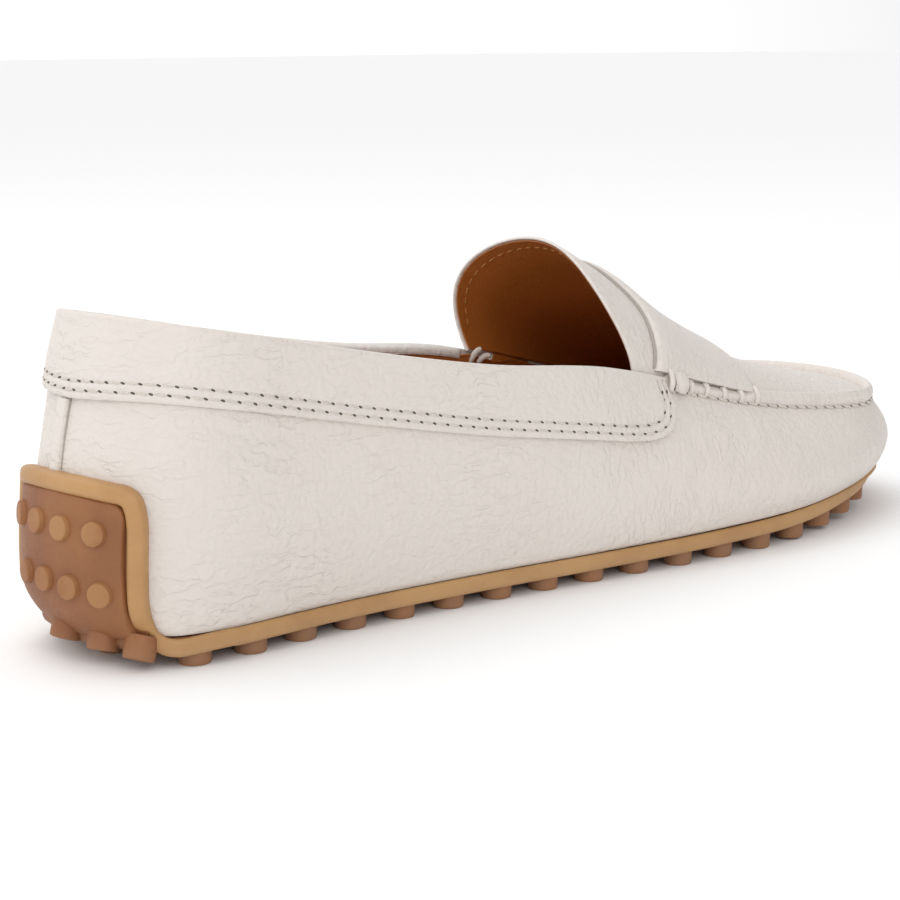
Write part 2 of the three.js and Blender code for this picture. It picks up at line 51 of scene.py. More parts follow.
lastTable = {
    "along": [0, .1, .22, .36, .5, .62, .72, .82, .92, 1],
    "outer": [.311, .295, .3, .348, .417, .478, .504, .502, .496, .496],
    "inner": [.315, .322, .322, .305, .33, .396, .457, .488, .5, .5],
    "spring": [0, 0, 0, 0, 0, .053, .12, .24, .42, 1],
    "collar": [1, .932, .844, .757, .698, .599, .517, .462, .439, .453],
    "bulge": [.14, .27, .36, .36, .45, .61, .84, .96, .93, 1],
    "railOuter": [.28, .295, .323, .354, .373, .368, .376, .39, .399, .378],
    "railInner": [.3, .298, .295, .278, .278, .329, .378, .391, .393, .383],
}
apronTable = {
    "along": [0, .12, .25, .4, .55, .7, .85, 1],
    "crest": [1, .904, .77, .655, .568, .507, .461, .416],
    "rise": [1.2, 1.22, 1.24, 1.3, 1.42, 1.54, 1.64, 1.7],
}


# Smooth curve through the rows of a table: cubic pieces whose slope at a row is the mean of the
# slopes on both sides, weighted by the far interval
def along(xs, ys, x):
    xs, ys = np.asarray(xs, float), np.asarray(ys, float)
    at = np.clip(x, xs[0], xs[-1])
    i = np.clip(np.searchsorted(xs, at) - 1, 0, len(xs) - 2)
    h = np.diff(xs)
    slope = np.diff(ys) / h
    inner = (slope[:-1] * h[1:] + slope[1:] * h[:-1]) / (h[:-1] + h[1:])
    tangent = np.concatenate(([slope[0]], inner, [slope[-1]]))
    t = (at - xs[i]) / h[i]
    s = 1 - t
    rising = s * s * (1 + 2 * t) * ys[i] + t * s * s * h[i] * tangent[i]
    return rising + t * t * (3 - 2 * t) * ys[i + 1] - t * t * s * h[i] * tangent[i + 1]


# 0 below 0, 1 above 1, an S-curve between
def smooth(x):
    t = np.clip(x, 0, 1)
    return t * t * (3 - 2 * t)


def wrapped(s):
    return np.mod(s + 1, 2) - 1


# Share of the length behind a station: half of one minus the cosine of pi times the station
def share(s):
    return (1 - np.cos(np.pi * np.abs(s))) / 2


def column(outer, inner, s, q):
    return np.where(s < 0, along(lastTable["along"], lastTable[outer], q),
                    along(lastTable["along"], lastTable[inner], q))


# Share of the width left by the rounded ends: a superellipse at the heel and at the toe. ends has
# the share of the length that is rounded at the heel and at the toe, and the toe's power.
def endRounding(q, ends):
    heel, toe, toePower = ends

    def rounding(x, p):
        return np.maximum(1 - np.abs(x) ** p, 0) ** (1 / p)
    back = rounding(1 - q / heel, last["heelPower"])
    front = rounding(np.maximum(q - 1 + toe, 0) / toe, toePower)
    return np.where(q < heel, back, front)


def points(x, y, z):
    return np.stack(np.broadcast_arrays(x, y, z), axis=-1).astype(float)


def featherLine(s):
    q = share(s)
    width = last["ballWidth"] * column("outer", "inner", s, q) * endRounding(q, last["featherEnds"])
    height = last["feather"] + last["toeSpring"] * along(lastTable["along"], lastTable["spring"], q)
    return points(last["length"] * q, np.sign(s) * width, height)


def railLine(s):
    q = share(s)
    width = last["ballWidth"] * column("railOuter", "railInner", s, q)
    width = width * endRounding(q, last["railEnds"])
    x = last["railBack"] + (last["railFront"] - last["railBack"]) * q
    height = last["collarHeight"] * along(lastTable["along"], lastTable["collar"], q)
    return points(x, np.sign(s) * width, height)


def unit(v):
    return v / np.maximum(np.linalg.norm(v, axis=-1, keepdims=True), 1e-9)


# Level direction out of the outline: the run along the feather line, turned a quarter
def outward(s):
    e = .002
    run = featherLine(wrapped(s + e)) - featherLine(wrapped(s - e))
    return unit(points(-run[..., 1], run[..., 0], 0))


# Side wall: a blend from the feather line at t = 0 to the rail at t = 1, pushed out by a half
# sine and tucked in under the heel. Below 0 it goes straight down.
def wallPoint(s, t):
    s, t = np.broadcast_arrays(wrapped(s), np.asarray(t, float))
    foot, rail = featherLine(s), railLine(s)
    up = np.clip(t, 0, None)
    lean = (up ** last["leanPower"])[..., None]
    tuck = last["heelTuck"] * (1 - smooth((np.abs(s) - last["tuckFrom"]) / last["tuckFade"]))
    under = np.clip(1 - t / last["tuckTop"], 0, 1) ** 2
    bulge = last["sideBulge"] * along(lastTable["along"], lastTable["bulge"], share(s))
    push = bulge * np.sin(np.pi * np.clip(up, 0, 1) ** last["bulgePower"]) - tuck * under
    out = outward(s) * push[..., None]
    level = foot + (rail - foot) * lean + out
    level[..., 2] = foot[..., 2] + (rail[..., 2] - foot[..., 2]) * t
    return level


# Normal out of the wall, from the steps along s and t
def wallNormal(s, t):
    e = .003
    t = np.broadcast_arrays(np.asarray(t, float), s)[0]
    low, high = np.clip(t - e, .001, 1 - 2 * e), np.clip(t + e, .001 + 2 * e, 1)
    ds = wallPoint(s + e, t) - wallPoint(s - e, t)
    dt = wallPoint(s, high) - wallPoint(s, low)
    return unit(np.cross(dt, ds))


def wallSkin(s, t, offset):
    s, t, offset = np.broadcast_arrays(s, np.asarray(t, float), np.asarray(offset, float))
    return wallPoint(s, t) + wallNormal(s, t) * offset[..., None]


# Apron: across the foot from the seam at v = 0 to the crest at v = 1 on a quarter turn, whose
# sine, raised to the row's power, lifts it from the rail to the crest
def apronPoint(s, v):
    s, v = np.broadcast_arrays(np.asarray(s, float), np.asarray(v, float))
    back = share(last["throatStation"])
    front = np.clip((share(s) - back) / (1 - back), 0, 1)
    rail = railLine(s)
    crestX = last["throatX"] + (last["railFront"] - last["throatX"]) * front
    crestZ = last["instepHeight"] * along(apronTable["along"], apronTable["crest"], front)
    rise = along(apronTable["along"], apronTable["rise"], front)
    angle = v * np.pi / 2
    near = (1 - front) ** 2
    belly = near * np.where(s < 0, last["bellyOuter"], last["bellyInner"]) * np.sin(2 * angle)
    lean = near * last["throatLean"] * np.sin(np.pi * v) ** 2
    x = crestX + (rail[..., 0] - crestX) * np.cos(angle) ** 2 - lean
    y = rail[..., 1] * (np.cos(angle) + belly) + near * last["throatShift"] * np.sin(angle)
    z = rail[..., 2] + (crestZ - rail[..., 2]) * np.abs(np.sin(angle)) ** rise
    return points(x, y, z)


# w runs across the apron: -1 at the outer seam, 0 on the crest, +1 at the inner seam
def acrossApron(a, w):
    a, w = np.broadcast_arrays(np.asarray(a, float), np.asarray(w, float))
    side = np.where(w < 0, -1.0, 1.0)
    return apronPoint(side * a, 1 - np.abs(w))


def acrossNormal(a, w):
    e = .004
    da = acrossApron(np.clip(a + e, 0, .996), w) - acrossApron(np.clip(a - e, 0, .99), w)
    dw = acrossApron(a, np.clip(w + e, -1, 1)) - acrossApron(a, np.clip(w - e, -1, 1))
    return unit(np.cross(da, dw))


def apronSkin(a, w, offset):
    a, w, offset = np.broadcast_arrays(a, np.asarray(w, float), np.asarray(offset, float))
    return acrossApron(a, w) + acrossNormal(a, w) * offset[..., None]


# Creases in the leather, placed on the side of the shoe in its own x and z. Each is a
# trough between two ends, with a soft ridge beside it. side -1 is the outer side, +1 the inner.
creaseTable = {
    "side": [-1, -1, -1, -1, -1, -1, -1, -1, -1, -1, -1, -1, -1, 1, 1, 1, 1],
    "x0": [150, 157, 163, 170, 176, 184, 192, 14, 12, 22, 52, 60, 66, 150, 160, 172, 30],
    "z0": [36, 35, 34, 34, 32, 31, 30, 47, 42, 37, 42, 36, 28, 36, 35, 33, 45],
    "x1": [146, 150, 160, 165, 172, 181, 190, 42, 38, 46, 70, 76, 84, 147, 156, 168, 58],
    "z1": [14, 20, 17, 22, 19, 21, 22, 45, 40, 35, 34, 27, 22, 16, 19, 20, 41],
    "wide": [1.6, 1.2, 1.5, 1.2, 1.4, 1.2, 1.1, 1.2, 1.1, 1.2, 1.5, 1.4, 1.6, 1.5, 1.4, 1.4, 1.3],
    "deep": [.26, .16, .24, .18, .2, .16, .12, .16, .14, .12, .16, .16, .14, .22, .2, .18, .14],
}
creaseShape = {"wander": 1.6, "waves": 5, "fade": 3, "ridge": .45, "ridgeAt": 1.9}


# Depth of the creases at points of one side: for each crease a bell across its line, faded
# towards its two ends
def creases(p):
    total = np.zeros(p.shape[:-1])
    shape = creaseShape
    rows = zip(*(creaseTable[k] for k in ("side", "x0", "z0", "x1", "z1", "wide", "deep")))
    for side, x0, z0, x1, z1, wide, deep in rows:
        run = np.hypot(x1 - x0, z1 - z0)
        ux, uz = (x1 - x0) / run, (z1 - z0) / run
        dx, dz = p[..., 0] - x0, p[..., 2] - z0
        on = (dx * ux + dz * uz) / run
        off = dx * uz - dz * ux + shape["wander"] * np.sin(on * shape["waves"] + x0)
        fade = smooth(on * shape["fade"]) * smooth((1 - on) * shape["fade"])
        beside = np.exp(-((off - shape["ridgeAt"] * wide) / wide) ** 2)
        bell = np.exp(-(off / wide) ** 2) - shape["ridge"] * beside
        total += np.where(np.sign(p[..., 1]) == side, deep * bell * fade, 0)
    return total


# Slow swell of soft leather: three crossed sines of a few centimetres
def softness(p):
    x, y, z = p[..., 0], p[..., 1], p[..., 2]
    return (.16 * np.sin(x / 9.1 + z / 14 + 1) * np.sin(z / 7.3 + y / 19)
            + .12 * np.sin(x / 17 - z / 8.7 + .4) + .07 * np.sin(x / 5.2 + z / 5.9 + y / 7))


# Millimetres on the last to metres in the frame
def toFrame(p):
    return (np.asarray(p, float) + np.array(last["heelPlace"])) / 1000


# Four-sided faces between rings that follow each other, as numbers of their points
def quadGrid(many, around, closed=False):
    i = np.arange(many if closed else many - 1)[:, None]
    j = np.arange(around)[None, :]
    nextI, nextJ = (i + 1) % many, (j + 1) % around
    return np.stack([i * around + j, i * around + nextJ,
                     nextI * around + nextJ, nextI * around + j], axis=-1).reshape(-1, 4)


# Closed mesh through rings of points, ring by ring. A closed path joins the last ring to the
# first; an open one gets a flat face over each end.
def ringMesh(name, rings, closed):
    many, around = rings.shape[:2]
    faces = quadGrid(many, around, closed).tolist()
    if not closed:
        faces.append(list(range(around))[::-1])
        faces.append(list(range((many - 1) * around, many * around)))
    return meshPiece(name, rings, faces)


# Shared by all meshes: the merging distances, in metres, and the angle of a sharp corner
meshSizes = {"merge": 2e-6, "degenerate": 1e-6, "sharp": 38}


# A mesh of points and faces as a piece: doubles merged, faces turned outwards, smooth shading
# with the sharp corners kept
def meshPiece(name, verts, faces):
    mesh = bpy.data.meshes.new(name)
    mesh.from_pydata(toFrame(verts).reshape(-1, 3), [], faces)
    work = bmesh.new()
    work.from_mesh(mesh)
    bmesh.ops.remove_doubles(work, verts=work.verts, dist=meshSizes["merge"])
    bmesh.ops.dissolve_degenerate(work, edges=work.edges, dist=meshSizes["degenerate"])
    bmesh.ops.recalc_face_normals(work, faces=work.faces)
    work.to_mesh(mesh)
    work.free()
    mesh.shade_smooth()
    mesh.set_sharp_from_angle(angle=math.radians(meshSizes["sharp"]))
    piece = bpy.data.objects.new(name, mesh)
    bpy.context.scene.collection.objects.link(piece)
    return piece


# Shapes of one make in one mesh: the points of each, n x k x 3, and the faces of the first
def alike(name, verts, faces):
    shift = (np.arange(len(verts)) * verts.shape[1])[:, None, None]
    return meshPiece(name, verts, (faces[None] + shift).reshape(-1, 4).tolist())


# Many copies of one small closed shape. places is n x 3, turns is n x 3 x 3 with the shape's own
# x, y and z directions as rows.
def copies(name, shape, places, turns):
    verts, faces = shape
    return alike(name, np.einsum("kj,njd->nkd", verts, turns) + places[:, None, :], faces)


# Tubes of one size: k tubes, each a stack of rings that shrinks to a point at its ends
def tubes(name, stacks):
    stacks = np.asarray(stacks)
    many, around = stacks.shape[1:3]
    return alike(name, stacks.reshape(len(stacks), -1, 3), quadGrid(many, around))


# Rings round a path: w times the cosine along `side`, h times the sine along `up`, with both
# shrinking to nothing at the two ends
def tubeRings(path, side, up, w, h, blunt=.35, around=10):
    turn = np.linspace(0, 2 * math.pi, around, endpoint=False)[None, :, None]
    end = np.clip(np.sin(np.linspace(0, math.pi, len(path))), 0, 1)[:, None, None] ** blunt
    return path[:, None] + end * (side[:, None] * w * np.cos(turn) + up[:, None] * h * np.sin(turn))


# Places at even steps along a path of points, as fractions of its row numbers
def evenly(path, first, pitch):
    run = np.concatenate([[0], np.cumsum(np.linalg.norm(np.diff(path, axis=0), axis=1))])
    return np.interp(np.arange(first, run[-1], pitch), run, np.arange(len(path)))


def pick(values, at):
    rows = np.arange(len(values))
    if values.ndim == 1:
        return np.interp(at, rows, values)
    return np.stack([np.interp(at, rows, column) for column in values.T], axis=-1)


# One stitch, or the painted shade of a needle hole: an oval bead, long in x and standing in z
def beadShape(long, wide, high, sides=8, rows=6):
    a = np.linspace(0, math.pi, rows)[:, None]
    turn = np.linspace(0, 2 * math.pi, sides, endpoint=False)[None, :]
    reach = np.clip(np.sin(a), 0, 1) ** .6
    reach[[0, -1]] = 0
    x, y, z = -np.cos(a) * long / 2, reach * np.cos(turn) * wide / 2, reach * np.sin(turn) * high / 2
    rings = points(x, y, z)
    return rings.reshape(-1, 3), quadGrid(rows, sides)


# Directions of beads: x along the row, turned by a slant, and z out of the surface
def slanted(way, normal, slant):
    aside = unit(np.cross(normal, way))
    x = unit(way * math.cos(slant) + aside * math.sin(slant))
    return np.stack([x, unit(np.cross(normal, x)), normal], axis=1)


# One row of beads along a path: their places at even steps and their directions
def beadRow(face, normal, first, pitch, slant):
    at = evenly(face, first, pitch)
    way = unit(pick(np.gradient(face, axis=0), at))
    return pick(face, at), slanted(way, unit(pick(normal, at)), slant)


# A path on the wall moved sideways by millimetres on the surface. steps are the path's own steps
# in s and t; perS and perT are the millimetres in one unit of each.
def movedAside(s, t, steps, aside):
    eS, eT = .002, .01
    perS = np.linalg.norm(wallPoint(s + eS, t) - wallPoint(s - eS, t), axis=-1) / (2 * eS)
    perT = np.linalg.norm(wallPoint(s, t + eT) - wallPoint(s, t - eT), axis=-1) / (2 * eT)
    ds, dt = steps[0] * perS, steps[1] * perT
    run = np.maximum(np.hypot(ds, dt), 1e-9)
    return s - dt / run * aside / perS, t + ds / run * aside / perT


# Soft curve near a chain of control points: a clamped quadratic spline, as arrays over columns
def softChain(chain, samples):
    chain = [np.asarray(c, float) for c in chain]
    ctrl = np.stack(np.broadcast_arrays(*chain), axis=-2)
    count = ctrl.shape[-2]
    mids = (ctrl[..., 1:-2, :] + ctrl[..., 2:-1, :]) / 2
    starts = np.concatenate([ctrl[..., :1, :], mids], axis=-2)
    ends = np.concatenate([mids, ctrl[..., -1:, :]], axis=-2)
    u = np.linspace(0, count - 2, samples)
    k = np.minimum(u.astype(int), count - 3)
    f = (u - k)[:, None]
    return (starts[..., k, :] * (1 - f) ** 2 + ctrl[..., k + 1, :] * 2 * f * (1 - f)
            + ends[..., k, :] * f ** 2)


# Millimetres on the wall in one unit of t, near the rail
def wallSpan(s):
    return np.linalg.norm(wallPoint(s, 1) - wallPoint(s, .9), axis=-1) / .1


# A mask over stations: 0 outside, 1 inside, from the rise's start to the fall's end
def between(s, low, rise, high, fall):
    return smooth((np.abs(s) - low) / rise) * smooth((high - np.abs(s)) / fall)


upAxis = np.array([0, 0, 1.0])


def keep(piece, paint, slot, *nodes):
    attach(piece, "root")
    if nodes:
        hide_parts(*nodes)
    piece.data.materials.append(paint)
    print(piece.name, len(piece.data.polygons))
    return piece


# Upper: the wall as one shell whose top edge is turned over, and raised as the sewn ridge in
# front of the throat. The tan inside begins this many rows up the turned edge, by station.
upperSizes = {
    "columns": 640, "rows": 66, "leather": 1.3, "hem": .25, "hemShare": .03, "underCuff": 1.3,
    "ridgeHeight": 2.3, "ridgeFoot": 2.9, "ridgeWaist": 1.9, "ridgeThick": 1.5, "ridgeFrom": .552,
    "ridgeFade": .012, "ridgeRows": 26, "notch": .5, "notchRise": .45, "dip": .5, "stitch": 3.75,
    "dipSpan": (.566, .01, .652, .012), "puff": .22, "tanTo": (.553, .6), "tanFrom": (13, 17),
}


# Length along the rail from the heel to each station, in millimetres
def railRun(s):
    fine = np.linspace(0, 1, 2001)
    rail = railLine(-fine)
    run = np.concatenate([[0], np.cumsum(np.linalg.norm(np.diff(rail, axis=0), axis=1))])
    return np.interp(np.abs(s), fine, run)


# Control points of the turned edge, from the wall's face over the top and down inside
def ridgeChain(s):
    sizes = upperSizes
    grown = smooth((np.abs(s) - sizes["ridgeFrom"]) / sizes["ridgeFade"])[..., None]
    puffs = sizes["puff"] * np.abs(np.sin(np.pi * railRun(s) / sizes["stitch"]))[..., None] ** .6
    span = wallSpan(s)
    out = outward(s)
    lift = (out * .5 + upAxis * .87) * sizes["ridgeHeight"] * grown
    topLift = lift * (1 - sizes["dip"] * between(s, *sizes["dipSpan"]))[..., None]
    foot = wallSkin(s, 1 - sizes["ridgeFoot"] / span, 0)
    notch = (wallSkin(s, 1 - (sizes["ridgeFoot"] - sizes["notchRise"]) / span, 0)
             - wallNormal(s, .97) * sizes["notch"] * grown)
    low = wallSkin(s, 1 - sizes["ridgeWaist"] / span, 0) + lift * .52 + out * puffs * grown
    rail = railLine(s) - upAxis * sizes["underCuff"] * (1 - grown)
    top = rail + topLift
    inside = -out * sizes["ridgeThick"]
    crease = rail + inside + lift * .1 + upAxis * (.2 - 1.6 * (1 - grown))
    return [foot, notch, low, (low + top) / 2 + out * .25 * grown, top, top + inside * .5 + lift * .08,
            top + inside, crease, crease - upAxis * .9]


def makeUpperWall():
    sizes = upperSizes
    s = np.linspace(-1, 1, sizes["columns"], endpoint=False)
    top = 1 - sizes["ridgeFoot"] / wallSpan(s)
    climb = np.linspace(0, 1, sizes["rows"])[None, :]
    t = climb * top[:, None] * .995
    base = wallPoint(s[:, None], t)
    hem = sizes["hem"] * np.clip(1 - t / sizes["hemShare"], 0, 1) ** 2
    swell = softness(base) * smooth(t / .1) * smooth((1 - t) / .15)
    outer = wallSkin(s[:, None], t, swell - creases(base) - hem)
    ridge = softChain(ridgeChain(s), sizes["ridgeRows"])[:, 1:]
    inner = wallSkin(s[:, None], t[:, ::-1] * .98, -sizes["leather"])
    rings = np.concatenate([outer, ridge, inner[:, ::2]], axis=1)
    piece = ringMesh("upper_wall", rings, True)
    column, place = np.divmod(np.arange(len(piece.data.polygons)), rings.shape[1])
    station = np.abs(s[np.minimum(column, len(s) - 1)])
    firstTan = np.select([station < end for end in sizes["tanTo"]], sizes["tanFrom"], rings.shape[1])
    inside = (place >= sizes["rows"] + firstTan) & (place < rings.shape[1] - 1)
    piece.data.polygons.foreach_set("material_index", inside.astype(np.int32))
    return piece


# Apron: one sheet over the toes, with a rounded edge at the throat
apronSizes = {
    "columns": 150, "across": 150, "leather": 1.3, "front": .986, "rimSteps": 6, "rimShare": .55,
    "sideGap": 1.0, "gapFrom": .545, "gapFade": .02, "swell": .8, "swellFrom": .55, "swellFade": .1,
}


# Width share left inside the ridge: the seam line moved in by the ridge's thickness
def apronReach(a, inset):
    half = np.abs(railLine(-a)[..., 1])
    return 1 - np.clip(inset / np.maximum(half, 3), 0, .4)


def makeApron():
    sizes = apronSizes
    steps = sizes["rimSteps"]
    a = np.linspace(last["throatStation"], sizes["front"], sizes["columns"])
    turn = np.linspace(math.pi / 2, 0, steps + 1)[:-1]
    rest = np.zeros(len(a))
    a = np.concatenate([np.full(steps, a[0]), a])
    thick = sizes["leather"] / 2
    gap = sizes["sideGap"] * smooth((a - sizes["gapFrom"]) / sizes["gapFade"])
    w = np.linspace(-1, 1, sizes["across"])[None, :] * apronReach(a, gap)[:, None]
    skived = sizes["rimShare"] + (1 - sizes["rimShare"]) * smooth((a - a[0] - .001) / .02)
    half = np.concatenate([np.cos(turn), rest + 1]) * thick * skived
    back = np.concatenate([np.sin(turn), rest]) * thick * skived
    mid = apronSkin(a[:, None], w, -thick * skived[:, None])
    normal = acrossNormal(a[:, None], w)
    mid[..., 0] -= back[:, None]
    fade = smooth((a - sizes["swellFrom"]) / sizes["swellFade"])[:, None, None]
    swell = (softness(mid) * sizes["swell"])[..., None] * fade
    outer = mid + normal * (half[:, None, None] + swell)
    inner = mid - normal * half[:, None, None]
    return ringMesh("upper_apron", np.concatenate([outer, inner[:, ::-1]], axis=1), False)


# Lining: tan leather inside the wall and under the apron, from and to these depths. It ends lower
# under the cuff, closes in at the throat and climbs just past it to meet the apron's lining.
liningSizes = {
    "columns": 400, "rows": 30, "from": 1.4, "to": 2.0, "top": .975, "topFrom": .51, "topFade": .02,
    "closedIn": .6, "closedFrom": .53, "closedFade": .015, "climb": 1.6, "climbFrom": .85,
    "climbSpan": (.555, .02, .7, .05), "apronSpan": (.0009, .965), "across": 90, "apronInset": .3,
    "skive": .56, "skiveFade": .03, "stitchIn": .0082, "stitch": 2.8, "stitchSpan": (-.86, .84),
}


def makeLiningWall():
    sizes = liningSizes
    s = np.linspace(-1, 1, sizes["columns"], endpoint=False)[:, None]
    top = sizes["top"] + (1 - sizes["top"]) * smooth((np.abs(s) - sizes["topFrom"]) / sizes["topFade"])
    t = np.linspace(0, 1, sizes["rows"])[None, :] * top
    closed = sizes["closedIn"] * smooth((np.abs(s) - sizes["closedFrom"]) / sizes["closedFade"])
    high = smooth((t - sizes["climbFrom"]) / (1 - sizes["climbFrom"]))
    climb = (sizes["climb"] * between(s, *sizes["climbSpan"]) * high)[..., None] * upAxis
    outer = wallSkin(s, t, -sizes["from"] - closed) + climb
    inner = wallSkin(s, t[:, ::-1], -sizes["to"] - closed) + climb[:, ::-1]
    return ringMesh("lining_wall", np.concatenate([outer, inner], axis=1), True)


# Share of the lining's depth at a distance past the throat: it is pared thin towards the rim
def skivedShare(past):
    return liningSizes["skive"] + (1 - liningSizes["skive"]) * smooth(past / liningSizes["skiveFade"])


def makeLiningApron():
    sizes = liningSizes
    start, end = sizes["apronSpan"]
    a = np.linspace(last["throatStation"] + start, end, sizes["across"])
    w = np.linspace(-1, 1, sizes["across"])[None, :] * apronReach(a, sizes["apronInset"])[:, None]
    skived = skivedShare(a - a[0])[:, None]
    outer = apronSkin(a[:, None], w, -sizes["from"] * skived)
    inner = apronSkin(a[:, None], w[:, ::-1], -sizes["to"] * skived)
    return ringMesh("lining_apron", np.concatenate([outer, inner], axis=1), False)


# Cuff: a band on the outside of the collar that rolls over the top edge and ends just inside
cuffSizes = {
    "columns": 460, "leather": 1.1, "gap": .25, "rows": 34, "inside": .15, "drop": .9,
    "rowLow": 1.6, "rowHigh": 3.4, "stitch": 3.55, "groove": .2, "grooveWide": .42,
    "puff": .14, "puffWide": .8, "edgeWide": .6, "edgeThin": .45, "frontTop": .985,
    "closedFrom": .527, "closedFade": .012, "overClosed": .15, "overOpen": -2.35, "under": .12,
}
cuffEdge = {
    "station": [0, .115, .25, .352, .439, .488, .513, .532, .542, .548, .553, .557],
    "low": [.74, .757, .739, .704, .656, .622, .611, .625, .655, .695, .76, .85],
}


def cuffLow(s):
    return along(cuffEdge["station"], cuffEdge["low"], np.abs(s))


# The cuff's lower edge from the heel to the front, then up its front edge
def cuffPath(side):
    end = cuffEdge["station"][-1]
    fine = np.linspace(0, end, 400)
    rise = np.linspace(cuffEdge["low"][-1], cuffSizes["frontTop"], 31)[1:]
    return side * np.concatenate([fine, np.full(30, end)]), np.concatenate([cuffLow(fine), rise])


# The edge is thin, the two stitched rows lie in grooves and the leather between them is puffed
def cuffOffset(toEdge):
    sizes = cuffSizes
    rows = (sizes["rowLow"], sizes["rowHigh"])
    thinned = sizes["edgeThin"] * (1 - np.clip(toEdge / sizes["edgeWide"], 0, 1)) ** 2
    grooves = sizes["groove"] * sum(np.exp(-((toEdge - at) / sizes["grooveWide"]) ** 2) for at in rows)
    puff = sizes["puff"] * np.exp(-((toEdge - sum(rows) / 2) / sizes["puffWide"]) ** 2)
    return sizes["gap"] + sizes["leather"] - thinned + puff - grooves


# Shortest way, in millimetres, from points of the cuff to its lower and front edge
def toCuffEdge(s, t):
    edge = wallPoint(*cuffPath(-1))
    flat = wallPoint(-np.abs(s), t)
    return np.sqrt(((flat[..., None, :] - edge) ** 2).sum(-1)).min(-1)


def makeCuff():
    sizes = cuffSizes
    end = cuffEdge["station"][-1]
    s = np.sin(np.linspace(-math.pi / 2, math.pi / 2, sizes["columns"])) * end
    span = wallSpan(s)
    low = cuffLow(s)
    high = 1 - sizes["drop"] / span
    face = sizes["gap"] + sizes["leather"]
    climb = np.linspace(0, 1, sizes["rows"])[None, :]
    t = low[:, None] + (high - low)[:, None] * climb
    base = wallPoint(s[:, None], t)
    offset = cuffOffset(toCuffEdge(s[:, None], t)) + .5 * softness(base) * smooth(climb * 3)
    outer = wallSkin(s[:, None], t, offset)
    n = wallNormal(s, sizes["frontTop"])
    up = upAxis
    top = wallPoint(s, high)
    openHere = smooth((sizes["closedFrom"] - np.abs(s)) / sizes["closedFade"])[:, None]
    over = sizes["overClosed"] * (1 - openHere) + sizes["overOpen"] * openHere
    roll = [top + n * face, top + n * face * .95 + up * .8, top + n * face * .3 + up * 1.3,
            top + n * over * .75 + up * 1.2, top + n * over + up * .6, top + n * over - up * .05]
    turned = softChain(roll, 16)[:, 1:]
    depth = (.35 + sizes["inside"] * openHere[:, 0]) / span
    down = high[:, None] - np.linspace(.15, 1, 6)[None, :] * depth[:, None]
    inside = wallSkin(s[:, None], down, over)
    back = wallSkin(s[:, None], down[:, ::-1], over + .3)
    under = wallSkin(s[:, None], t[:, ::-2], sizes["under"])
    rings = np.concatenate([outer, turned, inside, back, under], axis=1)
    return ringMesh("collar_cuff", rings, False)


# Two rows of stitches along the cuff's edge: threads that sink in, and between each two a dark bead of
# painted shade for the needle hole. Both rows follow the front edge up. first is where the row starts on
# each side, in stitches.
cuffBeads = {
    "cuff_threads": {"shape": (2.5, .6, .5), "slant": .08, "lift": .05, "first": (0, 1)},
    "cuff_hole_shades": {"shape": (.95, .46, .3), "slant": .3, "lift": .1, "first": (.5, .5)},
}


def makeCuffStitches():
    sizes = cuffSizes
    made = []
    for name, bead in cuffBeads.items():
        rows = []
        for side, first in zip((-1, 1), bead["first"]):
            for aside, late in ((sizes["rowLow"], 0), (sizes["rowHigh"], .35)):
                path = cuffPath(side)
                s, t = movedAside(*path, np.gradient(path, axis=1), side * aside)
                face = wallSkin(s, t, cuffOffset(aside) + bead["lift"])
                start = sizes["stitch"] * (first - side * late)
                rows.append(beadRow(face, wallNormal(s, t), start, sizes["stitch"], bead["slant"] * side))
        made.append(copies(name, beadShape(*bead["shape"]), *map(np.concatenate, zip(*rows))))
    return made


# Hand-sewn seam in front of the throat: a rope-like row at the ridge's foot with a dark bead of
# painted shade for a needle hole between each two stitches, and bars over the ridge, of which the
# second is the wide tab
seamBeads = {
    "seam_threads": {"shape": (3.5, .95, .8), "slant": .2, "lift": .12, "first": .5},
    "seam_hole_shades": {"shape": (.65, .5, .35), "slant": .7, "lift": .1, "first": 1.0},
}
seamSizes = {
    "from": .5575, "to": .9985, "aboveFoot": .35, "lean": .004, "barRows": 19,
    "bars": [.5605, .5715, .583, .599, .617, .635, .652],
    "halfWidths": [.75, 2.3, .8, .8, .8, .8, .8], "heights": [.7, 1.2, .65, .65, .65, .65, .65],
    "lifts": [1.3, .8, .25, .25, .25, .25, .25],
}


def makeSeamStitches():
    sizes, pitch = seamSizes, upperSizes["stitch"]
    made = []
    for name, bead in seamBeads.items():
        rows = []
        for side in (-1, 1):
            s = side * np.linspace(sizes["from"], sizes["to"], 500)
            t = 1 - (upperSizes["ridgeFoot"] - sizes["aboveFoot"]) / wallSpan(s)
            face = wallSkin(s, t, bead["lift"])
            rows.append(beadRow(face, wallNormal(s, t), pitch * bead["first"], pitch, bead["slant"] * side))
        made.append(copies(name, beadShape(*bead["shape"]), *map(np.concatenate, zip(*rows))))
    return made


# Each bar follows the ridge's own section over the top, drifting a little along the seam
def makeSeamBars():
    sizes, many = seamSizes, upperSizes["ridgeRows"]
    stacks = []
    rows = zip(*(sizes[k] for k in ("bars", "halfWidths", "heights", "lifts")))
    for station, half, high, lift in rows:
        for side in (-1, 1):
            s = side * (station + np.linspace(-.5, .5, many) * sizes["lean"])
            path = softChain(ridgeChain(s), many)[np.arange(many), np.arange(many)][:sizes["barRows"]]
            forward = unit(railLine(s + .002) - railLine(s - .002))[:sizes["barRows"]]
            up = unit(np.cross(np.gradient(path, axis=0), forward))
            up = up * np.sign((up[2] * outward(s)[2]).sum())
            stacks.append(tubeRings(path + up * lift, forward, up, half, high, .3))
    return tubes("seam_bars", stacks)


